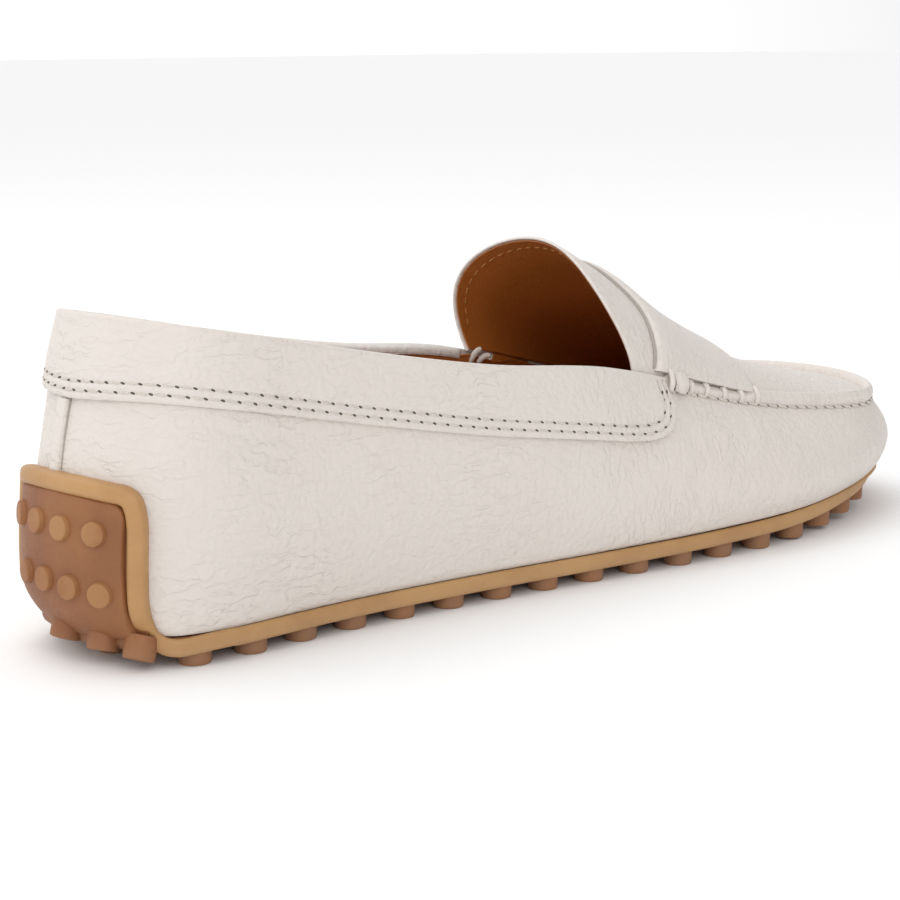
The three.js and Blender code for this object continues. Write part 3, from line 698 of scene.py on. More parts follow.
# Two ends of the lacing thong inside the far side of the throat, each an arch between two points
thongSizes = {
    "radius": .75, "rows": 14, "arch": .9, "blunt": .22,
    "from": [(-.6, -1.4, -3), (1.2, -2.4, -3)], "to": [(2.2, -3.2, .9), (4, -4.6, -1.1)],
}


def makeThong():
    sizes = thongSizes
    stacks = []
    base = railLine(np.array(last["throatStation"]))
    u = np.linspace(0, 1, sizes["rows"])[:, None]
    for start, end in zip(np.array(sizes["from"]), np.array(sizes["to"])):
        path = base + start * (1 - u) + end * u + upAxis * sizes["arch"] * np.sin(np.pi * u)
        side = np.broadcast_to(unit(np.cross(end - start, upAxis)), path.shape)
        up = unit(np.cross(side, np.gradient(path, axis=0)))
        stacks.append(tubeRings(path, side, up, sizes["radius"], sizes["radius"], sizes["blunt"]))
    return tubes("thong_ends", stacks)


# Stitches that hold the lining, a little inside the rim of the throat
def makeLiningStitches():
    sizes = liningSizes
    w = np.linspace(*sizes["stitchSpan"], 300)
    a = np.full(300, last["throatStation"] + sizes["stitchIn"])
    past = sizes["stitchIn"] - sizes["apronSpan"][0]
    face = apronSkin(a, w, -sizes["to"] * skivedShare(past) - .06)
    row = beadRow(face, -acrossNormal(a, w), 1.0, sizes["stitch"], .06)
    return copies("lining_stitches", beadShape(1.8, .45, .4), *row)


# Strap across the apron, with its crescent slot. A share of the leather stays at its two edges,
# and a shallow groove runs beside each.
strapSizes = {
    "along": 60, "across": 160, "leather": 1.75, "gap": .1, "inset": 2.0, "edgeShare": .35,
    "edgePower": 24, "groove": .12, "grooveAt": .05, "grooveWide": .03, "under": -.3,
    "slotEnd": 163.75, "slotHalf": 22.1, "slotBow": 9.5, "slotWide": 3.0, "cutLow": 40.0, "cutHigh": 90.0,
}
strapEdge = {
    "climb": [0, .25, .5, .75, 1],
    "back": [.55, .563, .572, .566, .563],
    "front": [.656, .658, .662, .664, .664],
}


def makeStrap():
    sizes = strapSizes
    w = np.linspace(-1, 1, sizes["across"])[:, None]
    back, front = (along(strapEdge["climb"], strapEdge[k], 1 - np.abs(w)) for k in ("back", "front"))
    ease = (1 - np.cos(np.linspace(0, math.pi, sizes["along"])))[None, :] / 2
    a = back + (front - back) * ease
    reach = apronReach(a, sizes["inset"])
    edge = 1 - np.abs(2 * ease - 1) ** sizes["edgePower"]
    top = sizes["gap"] + sizes["leather"] * (sizes["edgeShare"] + (1 - sizes["edgeShare"]) * edge)
    places = (sizes["grooveAt"], 1 - sizes["grooveAt"])
    groove = sum(np.exp(-((ease - at) / sizes["grooveWide"]) ** 2) for at in places)
    outer = apronSkin(a, w * reach, top - sizes["groove"] * groove)
    inner = apronSkin(a, w * reach, sizes["under"])
    piece = ringMesh("apron_strap", np.concatenate([outer, inner[:, ::-1]], axis=1), False)
    cutCrescent(piece)
    return piece


# A thin tube laid along a path on the leather, for the painted shadow lines
def paintedShadowTube(name, path, up, wide, high, blunt):
    side = unit(np.cross(np.gradient(path, axis=0), up))
    return tubes(name, [tubeRings(path, side, up, wide, high, blunt)])


# The strap's back edge: a thin dark line where it stands off the apron, mostly painted shadow of the gap
# and partly the raw edge's own darker tone
def makeStrapShadowLine():
    w = np.linspace(-.985, .985, 160)
    a = along(strapEdge["climb"], strapEdge["back"], 1 - np.abs(w)) - .0012
    w = w * apronReach(a, strapSizes["inset"])
    return paintedShadowTube("strap_shadow_line", apronSkin(a, w, .3), acrossNormal(a, w), .26, .5, .1)


# The slot lies between two arcs through its ends; each arc's radius follows from its bow, and a
# ring of points along one arc and back along the other is carried straight up
def cutCrescent(piece):
    sizes = strapSizes

    def arc(bow):
        radius = (sizes["slotHalf"] ** 2 + bow ** 2) / (2 * bow)
        reach = math.asin(sizes["slotHalf"] / radius)
        turn = np.linspace(-reach, reach, 60)
        return sizes["slotEnd"] + bow - radius + radius * np.cos(turn), radius * np.sin(turn)
    frontX, frontY = arc(sizes["slotBow"])
    backX, backY = arc(sizes["slotBow"] - sizes["slotWide"])
    x = np.concatenate([frontX, backX[::-1][1:-1]])
    y = np.concatenate([frontY, backY[::-1][1:-1]])
    rings = np.stack([points(x, y, sizes[k]) for k in ("cutLow", "cutHigh")])
    cutter = ringMesh("slot_cutter", rings, False)
    cut = piece.modifiers.new("slot", "BOOLEAN")
    cut.operation = "DIFFERENCE"
    cut.solver = "EXACT"
    cut.object = cutter
    finished = bpy.data.meshes.new_from_object(
        piece.evaluated_get(bpy.context.evaluated_depsgraph_get()))
    piece.modifiers.clear()
    piece.data = finished
    bpy.data.objects.remove(cutter)


# Pull tape up the back seam, with a thin dark line of painted shadow along its near edge, which is turned
# under
tapeSizes = {
    "wide": 3.4, "shift": 2.2, "leather": 1.0, "low": .5, "high": .735, "edge": .25, "under": -.1,
    "lineAside": .12, "lineUp": .01, "lineLift": .16,
}


# Signed station that lies at a given y on the heel: found by a few corrections of its distance
def heelStation(y, t, offset):
    s = np.zeros(np.broadcast(y, t).shape)
    for _ in range(40):
        s = s + (y - wallSkin(s, t, offset)[..., 1]) * .003
    return s


def makeTape():
    sizes = tapeSizes
    t = np.linspace(sizes["low"], sizes["high"], 30)[:, None]
    across = np.linspace(-1, 1, 17)[None, :]
    s = heelStation(sizes["shift"] + sizes["wide"] / 2 * across, t, .5)
    outer = wallSkin(s, t, sizes["edge"] + sizes["leather"] * (1 - np.abs(across) ** 6) ** .5)
    inner = wallSkin(s, t, sizes["under"])
    return ringMesh("heel_tape", np.concatenate([outer, inner[:, ::-1]], axis=1), False)


# The tape's dark line is painted shadow: a dark tube along its near edge
def makeTapeShadowLine():
    sizes = tapeSizes
    t = np.linspace(sizes["low"], sizes["high"], 40) + sizes["lineUp"]
    s = heelStation(sizes["shift"] - sizes["wide"] / 2 - sizes["lineAside"], t, .3)
    return paintedShadowTube("tape_shadow_line", wallSkin(s, t, sizes["lineLift"]), wallNormal(s, t), .2, .3, .2)


# Sole: the sheet under the foot, brown like its studs, with the paler band round its edge that
# climbs over the heel as a frame
soleSizes = {
    "thick": 3.3, "columns": 500, "inset": .3, "roundFrom": .9, "roundUp": .9, "overlap": .3,
    "studRadius": 3.5, "studHeight": 3.3, "pitch": 13.1, "studInset": 3.3, "firstStud": 23.2,
    "studRoot": 1.2, "taper": .95, "bandHalf": 1.85, "bandProud": 1.15, "frameHalf": 1.98,
    "frameProud": 3.4, "toeProud": .9, "toeRise": 2.2, "riseFrom": .62, "riseOver": .3, "sheetShare": .7,
}
cupSizes = {"side": .116, "belowEdge": .03, "proud": 1.6, "back": .1}
cupEdge = {
    "station": [0, .06, .095, .102, .108, .1115, .113, .1145, .12, .1265, .142],
    "top": [.515, .508, .493, .475, .43, .37, .25, .1, .055, .03, 0],
}
panelEdge = {
    "station": [0, .045, .063, .075, .084, .0885, .0912],
    "top": [.462, .454, .448, .444, .43, .408, .37],
}


# How far the sole's edge climbs at the toe, past the feather line's own spring
def toeRise(s):
    return soleSizes["toeRise"] * smooth((np.abs(s) - soleSizes["riseFrom"]) / soleSizes["riseOver"])


# Height of the sheet's underside
def underSheet(s):
    return featherLine(s)[..., 2] - soleSizes["thick"] + soleSizes["sheetShare"] * toeRise(s)


# Rings of a plate that fills an outline: its underside from the middle line out to the edge, at
# the shares r of the way and the heights low, then its upper side back in at the heights high
def plateRings(s, edge, r, low, high):
    middle = edge.copy()
    middle[:, 1] = (edge[:, 1] + np.interp(-s, s, edge[:, 1])) / 2
    under = middle[None] + (edge - middle)[None] * r[..., None]
    over = under[::-1].copy()
    under[..., 2] = low
    over[..., 2] = high
    return np.concatenate([under, over], axis=0).transpose(1, 0, 2)


def makeSoleSheet():
    sizes = soleSizes
    s = np.linspace(-1, 1, sizes["columns"], endpoint=False)
    edge = wallPoint(s, 0) + outward(s) * sizes["inset"]
    r = np.linspace(0, 1, 14)[:, None]
    low = underSheet(s) + sizes["roundUp"] * smooth((r - sizes["roundFrom"]) / (1 - sizes["roundFrom"]))
    high = featherLine(s)[:, 2] - sizes["overlap"]
    return ringMesh("sole_sheet", plateRings(s, edge, r, low, high), True)


# Ribbon on the shoe's side: a profile (place across, height) carried round a closed path of
# stations and climbs; across is square to the path in millimetres on the surface
def ribbon(name, s, t, halfWidth, proud, profile):
    across, height = profile
    steps = (wrapped(np.roll(s, -1) - np.roll(s, 1)), np.roll(t, -1) - np.roll(t, 1))
    sRing, tRing = (ring.T for ring in movedAside(s, t, steps, across[:, None] * halfWidth))
    flat = outward(sRing)
    n = unit(flat + (wallNormal(sRing, np.clip(tRing, .02, 1)) - flat) * smooth(tRing / .1)[..., None])
    return ringMesh(name, wallPoint(sRing, tRing) + n * (proud[:, None] * height)[..., None], True)


# Band profile: flat back, rounded front, as a squarish half oval
def bandProfile(squareness, back):
    angle = np.linspace(0, math.pi, 17)
    x = -np.cos(angle)
    across = np.sign(x) * np.abs(x) ** (2 / squareness)
    height = np.sin(angle) ** (2 / squareness)
    return np.concatenate([across, [.8, 0, -.8]]), np.concatenate([height, [back] * 3])


# Middle line of the band on the outer side, from the shank back to the heel, up and over it. Its
# length is measured with the millimetres in one unit of station and of climb there.
bandLine = {
    "station": [.2, .18, .16, .143, .1275, .1155, .1075, .1035, .1022, .1018, .1008, .0982, .0935, .085,
                .072, .04, 0],
    "climb": [-.029, -.031, -.036, -.038, -.027, .002, .05, .11, .2, .3, .367, .412, .446, .463, .468,
              .477, .48],
    "scale": (330, 62), "belowMiddle": .15, "rising": (.035, .2), "squareness": 3.2, "back": -.5,
    "toe": (.78, .2),
}


def makeBand():
    sizes, line = soleSizes, bandLine
    station, climb = np.array(line["station"]), np.array(line["climb"])
    lengths = np.hypot(np.diff(station) * line["scale"][0], np.diff(climb) * line["scale"][1])
    run = np.concatenate([[0], np.cumsum(lengths)])
    fine = np.linspace(0, run[-1], 140)
    arcS, arcT = along(run, station, fine), along(run, climb, fine)
    front = np.linspace(1, .2, 260, endpoint=False)
    wallHeight = railLine(-front)[..., 2] - featherLine(-front)[..., 2]
    low = (toeRise(front) - sizes["thick"] / 2 - line["belowMiddle"]) / wallHeight
    s = np.concatenate([-front, -arcS[:-1], arcS[::-1], front[::-1][:-1]])
    t = np.concatenate([low, arcT[:-1], arcT[::-1], low[::-1][:-1]])
    up = smooth((t + line["rising"][0]) / line["rising"][1])
    half = sizes["bandHalf"] + (sizes["frameHalf"] - sizes["bandHalf"]) * up
    proud = sizes["bandProud"] + (sizes["frameProud"] - sizes["bandProud"]) * up
    proud = proud + sizes["toeProud"] * smooth((np.abs(s) - line["toe"][0]) / line["toe"][1])
    return ribbon("sole_band", s, t, half, proud, bandProfile(line["squareness"], line["back"]))


def makeCup():
    sizes = cupSizes
    s = np.linspace(-sizes["side"], sizes["side"], 90)
    edge = along(cupEdge["station"], cupEdge["top"], np.abs(s)) - sizes["belowEdge"]
    t = np.linspace(0, 1, 30)[None, :] * np.maximum(edge, .02)[:, None]
    outer = wallSkin(s[:, None], t, sizes["proud"])
    inner = wallSkin(s[:, None], t[:, ::-1], sizes["back"])
    return ringMesh("sole_cup", np.concatenate([outer, inner], axis=1), False)


# Panel set in the heel frame, turning under the heel to meet the sheet. perStation and perClimb
# are the millimetres in one unit of each there, and rounding is the edge's radius.
panelSizes = {
    "face": 2.75, "back": 1.5, "across": 130, "up": 60, "turnSteps": 8, "turnDown": .053,
    "perStation": 190, "perClimb": 62, "rounding": .9, "tilt": .3, "root": .2,
    "studRadius": 2.6, "studHeight": 1.0, "studRoot": .7, "studTaper": .96,
    "turnRadius": 3.4, "turnHeight": 3.3, "turnRoot": 1.6, "turnLean": 1.5,
}
panelFlare = {"climb": [-.05, 0, .05, .114, .178, .6], "wider": [.02, .017, .007, .0015, 0, 0]}
heelRows = {
    "face": {"z": [28.5, 28.3, 28.0, 27.8, 17.6, 17.4, 16.8, 16.2],
             "across": [12.2, 4.1, -4, -12.2, 8.3, .9, -6.5, -13.4]},
    "turn": {"z": [8.2, 8.2, 7.2, 5.8], "across": [13.4, 2, -7.3, -15.8], "forward": [5, 0, 0, 0]},
}


def makePanel():
    sizes = panelSizes
    many, steps = sizes["across"], sizes["turnSteps"]
    edge = panelEdge["station"][-1]
    place = np.sin(np.linspace(-math.pi / 2, math.pi / 2, many))[:, None]
    top = along(panelEdge["station"], panelEdge["top"], np.abs(place) * edge)
    climb = (1 - np.cos(np.linspace(0, math.pi, sizes["up"]))) / 2
    under = np.linspace(math.pi / 2, 0, steps + 1)[None, :-1]
    start = np.broadcast_to(-sizes["turnDown"] * np.sin(under), (many, steps))
    t = np.concatenate([start, top * climb[None, :]], axis=1)
    wide = edge + along(panelFlare["climb"], panelFlare["wider"], t)
    s = place * wide
    near = np.minimum((top - t) * sizes["perClimb"], (wide - np.abs(s)) * sizes["perStation"])
    rounded = 1 - np.clip(1 - near / sizes["rounding"], 0, 1) ** 2
    turned = np.concatenate([np.cos(under), np.ones((1, sizes["up"]))], axis=1)
    proud = sizes["back"] + (sizes["face"] - sizes["back"]) * rounded
    level = unit(wallNormal(s, .03) * np.array([1, 1, sizes["tilt"]]))
    n = np.where((t < .02)[..., None], level, wallNormal(s, t))
    outer = wallPoint(s, t) + n * (sizes["root"] + (proud - sizes["root"]) * turned)[..., None]
    inner = wallSkin(s[:, ::-1], np.maximum(t[:, ::-1], -.04), .1)
    return ringMesh("heel_panel", np.concatenate([outer, inner], axis=1), False)

# One stud: rings from its root to its rounded tip, along its own z
def studShape(radius, height, root, taper, sides=22):
    turn = np.linspace(0, 2 * math.pi, sides, endpoint=False)
    reach = np.array([0, 1.0, 1.0, taper, taper * .97, taper * .88, taper * .6, 0]) * radius
    level = np.array([-root, -root, 0, height - .45, height - .14, height - .02, height, height])
    rings = points(reach[:, None] * np.cos(turn), reach[:, None] * np.sin(turn), level[:, None])
    return rings.reshape(-1, 3), quadGrid(len(reach), sides)


# Three directions at each place: z along the given axes, x and y square to it
def turnsAlong(axes, hint):
    z = unit(np.asarray(axes, float))
    x = unit(np.cross(hint, z))
    return np.stack([x, np.cross(z, x), z], axis=1)


# Where the studs stand: the first row inside starts here, rows lie closer than the pitch, and no
# stud comes nearer to another than these shares of the pitch
planSizes = {"rows": 22, "across": 4, "firstRow": 12, "rowShare": .87, "ringClear": .7, "rowClear": .86}


# Station of the outline at a distance along the foot
def stationAt(x):
    return np.arccos(1 - 2 * np.clip(x / last["length"], 0, 1)) / math.pi


# Studs ring the sole at one pitch along the outline; rows inside fill it, each half a pitch over
def studPlan():
    sizes, pitch = soleSizes, soleSizes["pitch"]
    plan = []

    def addClear(p, share):
        if all(np.hypot(*(p - q)) > pitch * share for q in plan):
            plan.append(p)
    for side in (-1, 1):
        s = side * np.arange(0, 1.0001, .0005)
        line = wallPoint(s, 0) - outward(s) * sizes["studInset"]
        run = np.concatenate([[0], np.cumsum(np.hypot(*np.diff(line[:, :2], axis=0).T))])
        wanted = np.arange(sizes["firstStud"], run[-1], pitch)
        for p in line[np.minimum(np.searchsorted(run, wanted), len(run) - 1), :2]:
            addClear(p, planSizes["ringClear"])
    for row in range(planSizes["rows"]):
        x = planSizes["firstRow"] + row * pitch * planSizes["rowShare"]
        if x >= last["length"]:
            break
        low = wallPoint(-stationAt(x), 0)[1] + sizes["studInset"]
        high = wallPoint(stationAt(x), 0)[1] - sizes["studInset"]
        for k in range(-planSizes["across"], planSizes["across"] + 1):
            y = (k + (row % 2) / 2) * pitch
            if low < y < high:
                addClear(np.array([x, y]), planSizes["rowClear"])
    return np.array(plan)


def makeFloorStuds():
    sizes = soleSizes
    plan = studPlan()
    tip = np.maximum(0, underSheet(-stationAt(plan[:, 0])) - sizes["studHeight"] - .7)
    places = points(plan[:, 0], plan[:, 1], tip + sizes["studHeight"])
    shape = studShape(sizes["studRadius"], sizes["studHeight"], sizes["studRoot"], sizes["taper"])
    turns = turnsAlong(np.tile(-upAxis, (len(plan), 1)), [1.0, 0, 0])
    return copies("sole_studs", shape, places, turns)


# Stations and climbs of a row of studs on the heel, given by their heights and their y
def onHeel(row, offset):
    t = (np.array(row["z"]) - last["feather"]) / (last["collarHeight"] - last["feather"])
    return heelStation(np.array(row["across"], float), t, offset), t


def makeHeelStuds():
    sizes = panelSizes
    s, t = onHeel(heelRows["face"], sizes["face"])
    shape = studShape(sizes["studRadius"], sizes["studHeight"], sizes["studRoot"], sizes["studTaper"])
    places = wallSkin(s, t, sizes["face"])
    return copies("panel_studs", shape, places, turnsAlong(wallNormal(s, t), upAxis))


def makeTurnStuds():
    sizes = panelSizes
    s, t = onHeel(heelRows["turn"], 1.7)
    axes = wallNormal(s, t) - upAxis * sizes["turnLean"]
    shape = studShape(sizes["turnRadius"], sizes["turnHeight"], sizes["turnRoot"], soleSizes["taper"])
    places = wallSkin(s, t, 1.4)
    places[:, 0] += heelRows["turn"]["forward"]
    return copies("turn_studs", shape, places, turnsAlong(axes, upAxis))


# Insole: a flat sock with a soft edge
insoleSizes = {"thick": 2.4, "inset": 2.35, "lift": .05, "edgeUp": .6, "edgePower": 6}


def makeInsole():
    sizes = insoleSizes
    s = np.linspace(-1, 1, 300, endpoint=False)
    edge = wallPoint(s, .03) - outward(s) * sizes["inset"]
    floor = featherLine(s)[:, 2]
    r = np.linspace(0, 1, 12)[:, None]
    high = floor + sizes["thick"] + sizes["edgeUp"] * r[::-1] ** sizes["edgePower"]
    return ringMesh("insole", plateRings(s, edge, r, floor + sizes["lift"], high), True)



# Camera: the photograph's angle, as turn, height, roll and distance from the point looked at
cameraSizes = {
    "azimuth": -44.11, "elevation": 10.65, "distance": .51013, "lens": 86.287, "roll": -.57,
    "target": (-.00940, .00944, .02588),
}


def makeCamera():
    sizes = cameraSizes
    az, el, roll = (math.radians(sizes[k]) for k in ("azimuth", "elevation", "roll"))
    back = Vector((math.sin(az) * math.cos(el), -math.cos(az) * math.cos(el), math.sin(el)))
    right = Vector((0, 0, 1)).cross(back).normalized()
    up = back.cross(right)
    rolledRight = right * math.cos(roll) + up * math.sin(roll)
    rolledUp = up * math.cos(roll) - right * math.sin(roll)
    data = bpy.data.cameras.new("view")
    data.lens = sizes["lens"]
    data.sensor_width = 36
    data.clip_start = .01
    view = bpy.data.objects.new("view", data)
    turn = Matrix((rolledRight, rolledUp, back)).transposed().to_4x4()
    view.matrix_world = Matrix.Translation(Vector(sizes["target"]) + back * sizes["distance"]) @ turn
    bpy.context.scene.collection.objects.link(view)
    bpy.context.scene.camera = view


# Floor and soft studio light: a white room that is dimmer on the toe's side, where a studio would
# hang a grey flag, one lamp on the heel's side and a weak one above
studio = {
    "floorSize": 40.0, "floorGrey": .955, "floorRoughness": .95, "world": 1.13, "flagged": .48,
    "flagSide": (.83, -.54, .12), "flagFade": (.05, .95),
    "lamps": {
        "key": {"place": (-.42, -.72, .5), "size": .5, "power": 1.15},
        "top": {"place": (-.2, .5, 1.3), "size": 1.0, "power": 3},
    },
}


def makeFloor():
    half = studio["floorSize"] / 2
    mesh = bpy.data.meshes.new("floor")
    corners = [(-half, -half, 0), (half, -half, 0), (half, half, 0), (-half, half, 0)]
    mesh.from_pydata(corners, [], [(0, 1, 2, 3)])
    floor = bpy.data.objects.new("floor", mesh)
    bpy.context.scene.collection.objects.link(floor)
    paint, shader = newPaint("floorPaint", studio["floorRoughness"])
    shader.inputs["Base Color"].default_value = (*[studio["floorGrey"]] * 3, 1)
    mesh.materials.append(paint)


def makeLight():
    world = bpy.data.worlds.new("studio")
    world.use_nodes = True
    tree = world.node_tree
    room = tree.nodes["Background"]
    room.inputs["Color"].default_value = (1, 1, 1, 1)
    sky = addNode(tree, "ShaderNodeTexCoord").outputs["Generated"]
    toFlag = vectorMaths(tree, "DOT_PRODUCT", {0: sky, 1: studio["flagSide"]})["Value"]
    dimmed = mapRange(tree, toFlag, *studio["flagFade"], studio["world"], studio["flagged"])
    tree.links.new(dimmed, room.inputs["Strength"])
    bpy.context.scene.world = world
    bpy.context.scene.view_settings.view_transform = "Standard"
    for name, lamp in studio["lamps"].items():
        data = bpy.data.lights.new(name, "AREA")
        data.shape = "DISK"
        data.size = lamp["size"]
        data.energy = lamp["power"]
        light = bpy.data.objects.new(name, data)
        place = Vector(lamp["place"])
        turn = place.to_track_quat("Z", "Y").to_matrix().to_4x4()
        light.matrix_world = Matrix.Translation(place) @ turn
        bpy.context.scene.collection.objects.link(light)


def newPaint(name, roughness):
    paint = bpy.data.materials.new(name)
    paint.use_nodes = True
    shader = paint.node_tree.nodes["Principled BSDF"]
    shader.inputs["Roughness"].default_value = roughness
    return paint, shader


# Small helpers for node trees: a node with its settings and inputs, and the kinds used often
def addNode(tree, kind, settings=None, inputs=None):
    node = tree.nodes.new(kind)
    for key, value in (settings or {}).items():
        setattr(node, key, value)
    for key, value in (inputs or {}).items():
        if isinstance(value, bpy.types.NodeSocket):
            tree.links.new(value, node.inputs[key])
        else:
            node.inputs[key].default_value = value
    return node


def maths(tree, operation, a, b):
    return addNode(tree, "ShaderNodeMath", {"operation": operation}, {0: a, 1: b}).outputs[0]


def vectorMaths(tree, operation, inputs):
    return addNode(tree, "ShaderNodeVectorMath", {"operation": operation}, inputs).outputs


def mapRange(tree, value, low, high, newLow, newHigh):
    inputs = {0: value, 1: low, 2: high, 3: newLow, 4: newHigh}
    return addNode(tree, "ShaderNodeMapRange", {"interpolation_type": "SMOOTHSTEP"}, inputs).outputs[0]


def objectPlace(tree):
    return addNode(tree, "ShaderNodeTexCoord").outputs["Object"]


def noise(tree, where, scale, detail):
    inputs = {"Vector": where, "Scale": scale, "Detail": detail}
    return addNode(tree, "ShaderNodeTexNoise", None, inputs).outputs


def mixColour(tree, share, a, b):
    pair = {6: a, 7: b}
    for place, colour in pair.items():
        if isinstance(colour, tuple):
            pair[place] = (*colour, 1)
    return addNode(tree, "ShaderNodeMix", {"data_type": "RGBA"}, {0: share, **pair}).outputs[2]


def newGroup(name, inputs, outputs):
    group = bpy.data.node_groups.new(name, "ShaderNodeTree")
    for socket, value in inputs.items():
        made = group.interface.new_socket(socket, in_out="INPUT", socket_type="NodeSocketFloat")
        made.default_value = value
    for socket in outputs:
        group.interface.new_socket(socket, in_out="OUTPUT", socket_type="NodeSocketFloat")
    return group, group.nodes.new("NodeGroupInput").outputs, group.nodes.new("NodeGroupOutput").inputs


# Sizes of the leather's grain: scales are in cells or waves per metre, edges are where a noise
# turns from one value to the other, and turn is where the creases change direction along the shoe
grainSizes = {
    "wobble": 300, "push": .0024, "smoothness": .6, "pebbleEdge": (.25, .8), "creaseEdge": .055,
    "level": (110, 110, 420), "upright": (420, 420, 110), "turn": (-.05, .01), "patch": 48,
    "patchEdge": (.36, .64), "weakest": .25, "fine": 3000, "fineShare": .1,
}


# Creases of one direction: ridged noise on coordinates pulled by three factors, 0 in a crease
def creaseField(tree, where, pull):
    long = vectorMaths(tree, "MULTIPLY", {0: where, 1: pull})[0]
    away = maths(tree, "ABSOLUTE", maths(tree, "SUBTRACT", noise(tree, long, 1, 2.5)[0], .5), 0)
    return mapRange(tree, away, 0, grainSizes["creaseEdge"], 0, 1)


# Pebbled grain: low cells with sunk lines between them, under fine creases that lie level at the
# heel and upright at the forefoot. Height rises on the pebbles, Line marks the sunk places,
# where the leather's colour is darkened as painted shade.
def makeGrainGroup():
    sizes = grainSizes
    group, given, result = newGroup("pebbledGrain", {"Scale": 700, "Pebble": .4, "Crease": .6},
                                    ["Height", "Line"])
    where = objectPlace(group)
    wobble = noise(group, where, sizes["wobble"], 2)["Color"]
    push = vectorMaths(group, "SCALE", {0: wobble, "Scale": sizes["push"]})[0]
    bent = vectorMaths(group, "ADD", {0: where, 1: push})[0]
    inputs = {"Vector": bent, "Scale": given["Scale"], "Smoothness": sizes["smoothness"]}
    cells = addNode(group, "ShaderNodeTexVoronoi", {"feature": "SMOOTH_F1"}, inputs)
    pebble = mapRange(group, cells.outputs["Distance"], *sizes["pebbleEdge"], 1, 0)
    level = creaseField(group, bent, sizes["level"])
    upright = creaseField(group, bent, sizes["upright"])
    toToe = addNode(group, "ShaderNodeSeparateXYZ", None, {0: where}).outputs["X"]
    forward = mapRange(group, toToe, *sizes["turn"], 0, 1)
    crease = addNode(group, "ShaderNodeMix", None, {0: forward, 2: level, 3: upright}).outputs[0]
    patches = noise(group, where, sizes["patch"], 2)[0]
    strong = mapRange(group, patches, *sizes["patchEdge"], sizes["weakest"], 1)
    sunk = maths(group, "MULTIPLY", maths(group, "SUBTRACT", 1.0, crease), strong)
    fine = maths(group, "MULTIPLY", noise(group, where, sizes["fine"], 3)[0], sizes["fineShare"])
    total = maths(group, "MULTIPLY", pebble, given["Pebble"])
    total = maths(group, "SUBTRACT", total, maths(group, "MULTIPLY", sunk, given["Crease"]))
    group.links.new(maths(group, "ADD", total, fine), result["Height"])
    group.links.new(sunk, result["Line"])
    return group


# Handling: broad, soft patches of wear, and dust low down near the floor
def makeWearGroup():
    group, given, result = newGroup("wearAndDust", {"Scale": 24, "DustHeight": .012}, ["Wear", "Dust"])
    where = objectPlace(group)
    inputs = {"Vector": where, "Scale": given["Scale"], "Detail": 4, "Roughness": .6}
    broad = addNode(group, "ShaderNodeTexNoise", None, inputs).outputs[0]
    group.links.new(mapRange(group, broad, .35, .7, 0, 1), result["Wear"])
    height = addNode(group, "ShaderNodeSeparateXYZ", None, {0: where}).outputs["Z"]
    low = maths(group, "SUBTRACT", 1.0, maths(group, "DIVIDE", height, given["DustHeight"]))
    group.links.new(maths(group, "MULTIPLY", mapRange(group, low, 0, 1, 0, 1), broad), result["Dust"])
    return group


finish = {
    # leatherCreaseShade and tanCreaseShadeAndWear are painted shade for the sunk crease lines; the tan one
    # is also the lining's wear tone
    "leather": (.69, .635, .588), "leatherCreaseShade": (.50, .445, .40), "leatherWarm": (.685, .62, .56),
    # edge is the tone of the painted shadow lines along the strap's back edge and the tape's near edge
    # holeShade is painted shade standing in for the needle holes
    "thread": (.66, .60, .54), "holeShade": (.10, .085, .07), "edge": (.42, .38, .34),
    "tan": (.37, .112, .018), "tanCreaseShadeAndWear": (.27, .075, .011), "tanThread": (.46, .20, .055),
    "caramel": (.47, .265, .105), "caramelDeep": (.40, .21, .078), "brown": (.285, .112, .038),
    "brownDeep": (.225, .082, .027), "stud": (.37, .18, .065), "dust": (.42, .31, .21),
}


def placeGroup(tree, group, inputs):
    return addNode(tree, "ShaderNodeGroup", {"node_tree": group}, inputs).outputs


def addBump(tree, shader, height, strength, distance):
    inputs = {"Strength": strength, "Distance": distance, "Height": height}
    bump = addNode(tree, "ShaderNodeBump", None, inputs)
    tree.links.new(bump.outputs["Normal"], shader.inputs["Normal"])


# Pebbled leather: one pale tone, darkened a little in its creases as painted shade, and warmer where it is
# worn
leatherSizes = {
    "wearScale": 26, "wearShare": .4, "creaseShadeShare": .07, "roughness": (.42, .6), "coat": .06,
    "coatRoughness": .35, "bump": .8,
}


def makeLeather(name, tones, grain, depth):
    sizes = leatherSizes
    pale, low, warm = (finish[k] for k in tones)
    paint, shader = newPaint(name, .45)
    tree = paint.node_tree
    pebbles = placeGroup(tree, grainGroup, grain)
    wear = placeGroup(tree, wearGroup, {"Scale": sizes["wearScale"]})["Wear"]
    colour = mixColour(tree, maths(tree, "MULTIPLY", wear, sizes["wearShare"]), pale, warm)
    # Painted shade: the sunk crease lines are mixed towards the darker crease tone
    creaseShade = maths(tree, "MULTIPLY", pebbles["Line"], sizes["creaseShadeShare"])
    tree.links.new(mixColour(tree, creaseShade, colour, low), shader.inputs["Base Color"])
    rough = mapRange(tree, pebbles["Line"], 0, 1, *sizes["roughness"])
    tree.links.new(rough, shader.inputs["Roughness"])
    shader.inputs["Coat Weight"].default_value = sizes["coat"]
    shader.inputs["Coat Roughness"].default_value = sizes["coatRoughness"]
    addBump(tree, shader, pebbles["Height"], sizes["bump"], depth)
    return paint


# Gum rubber: two close tones in slow clouds, fine moulded tooth, dust near the floor
rubberSizes = {
    "clouds": 60, "dustHeight": .008, "dustShare": .4, "tooth": 1900, "toothEdge": (.3, .7),
    "smoother": .05, "rougher": .1, "bump": .35, "depth": .00012,
}


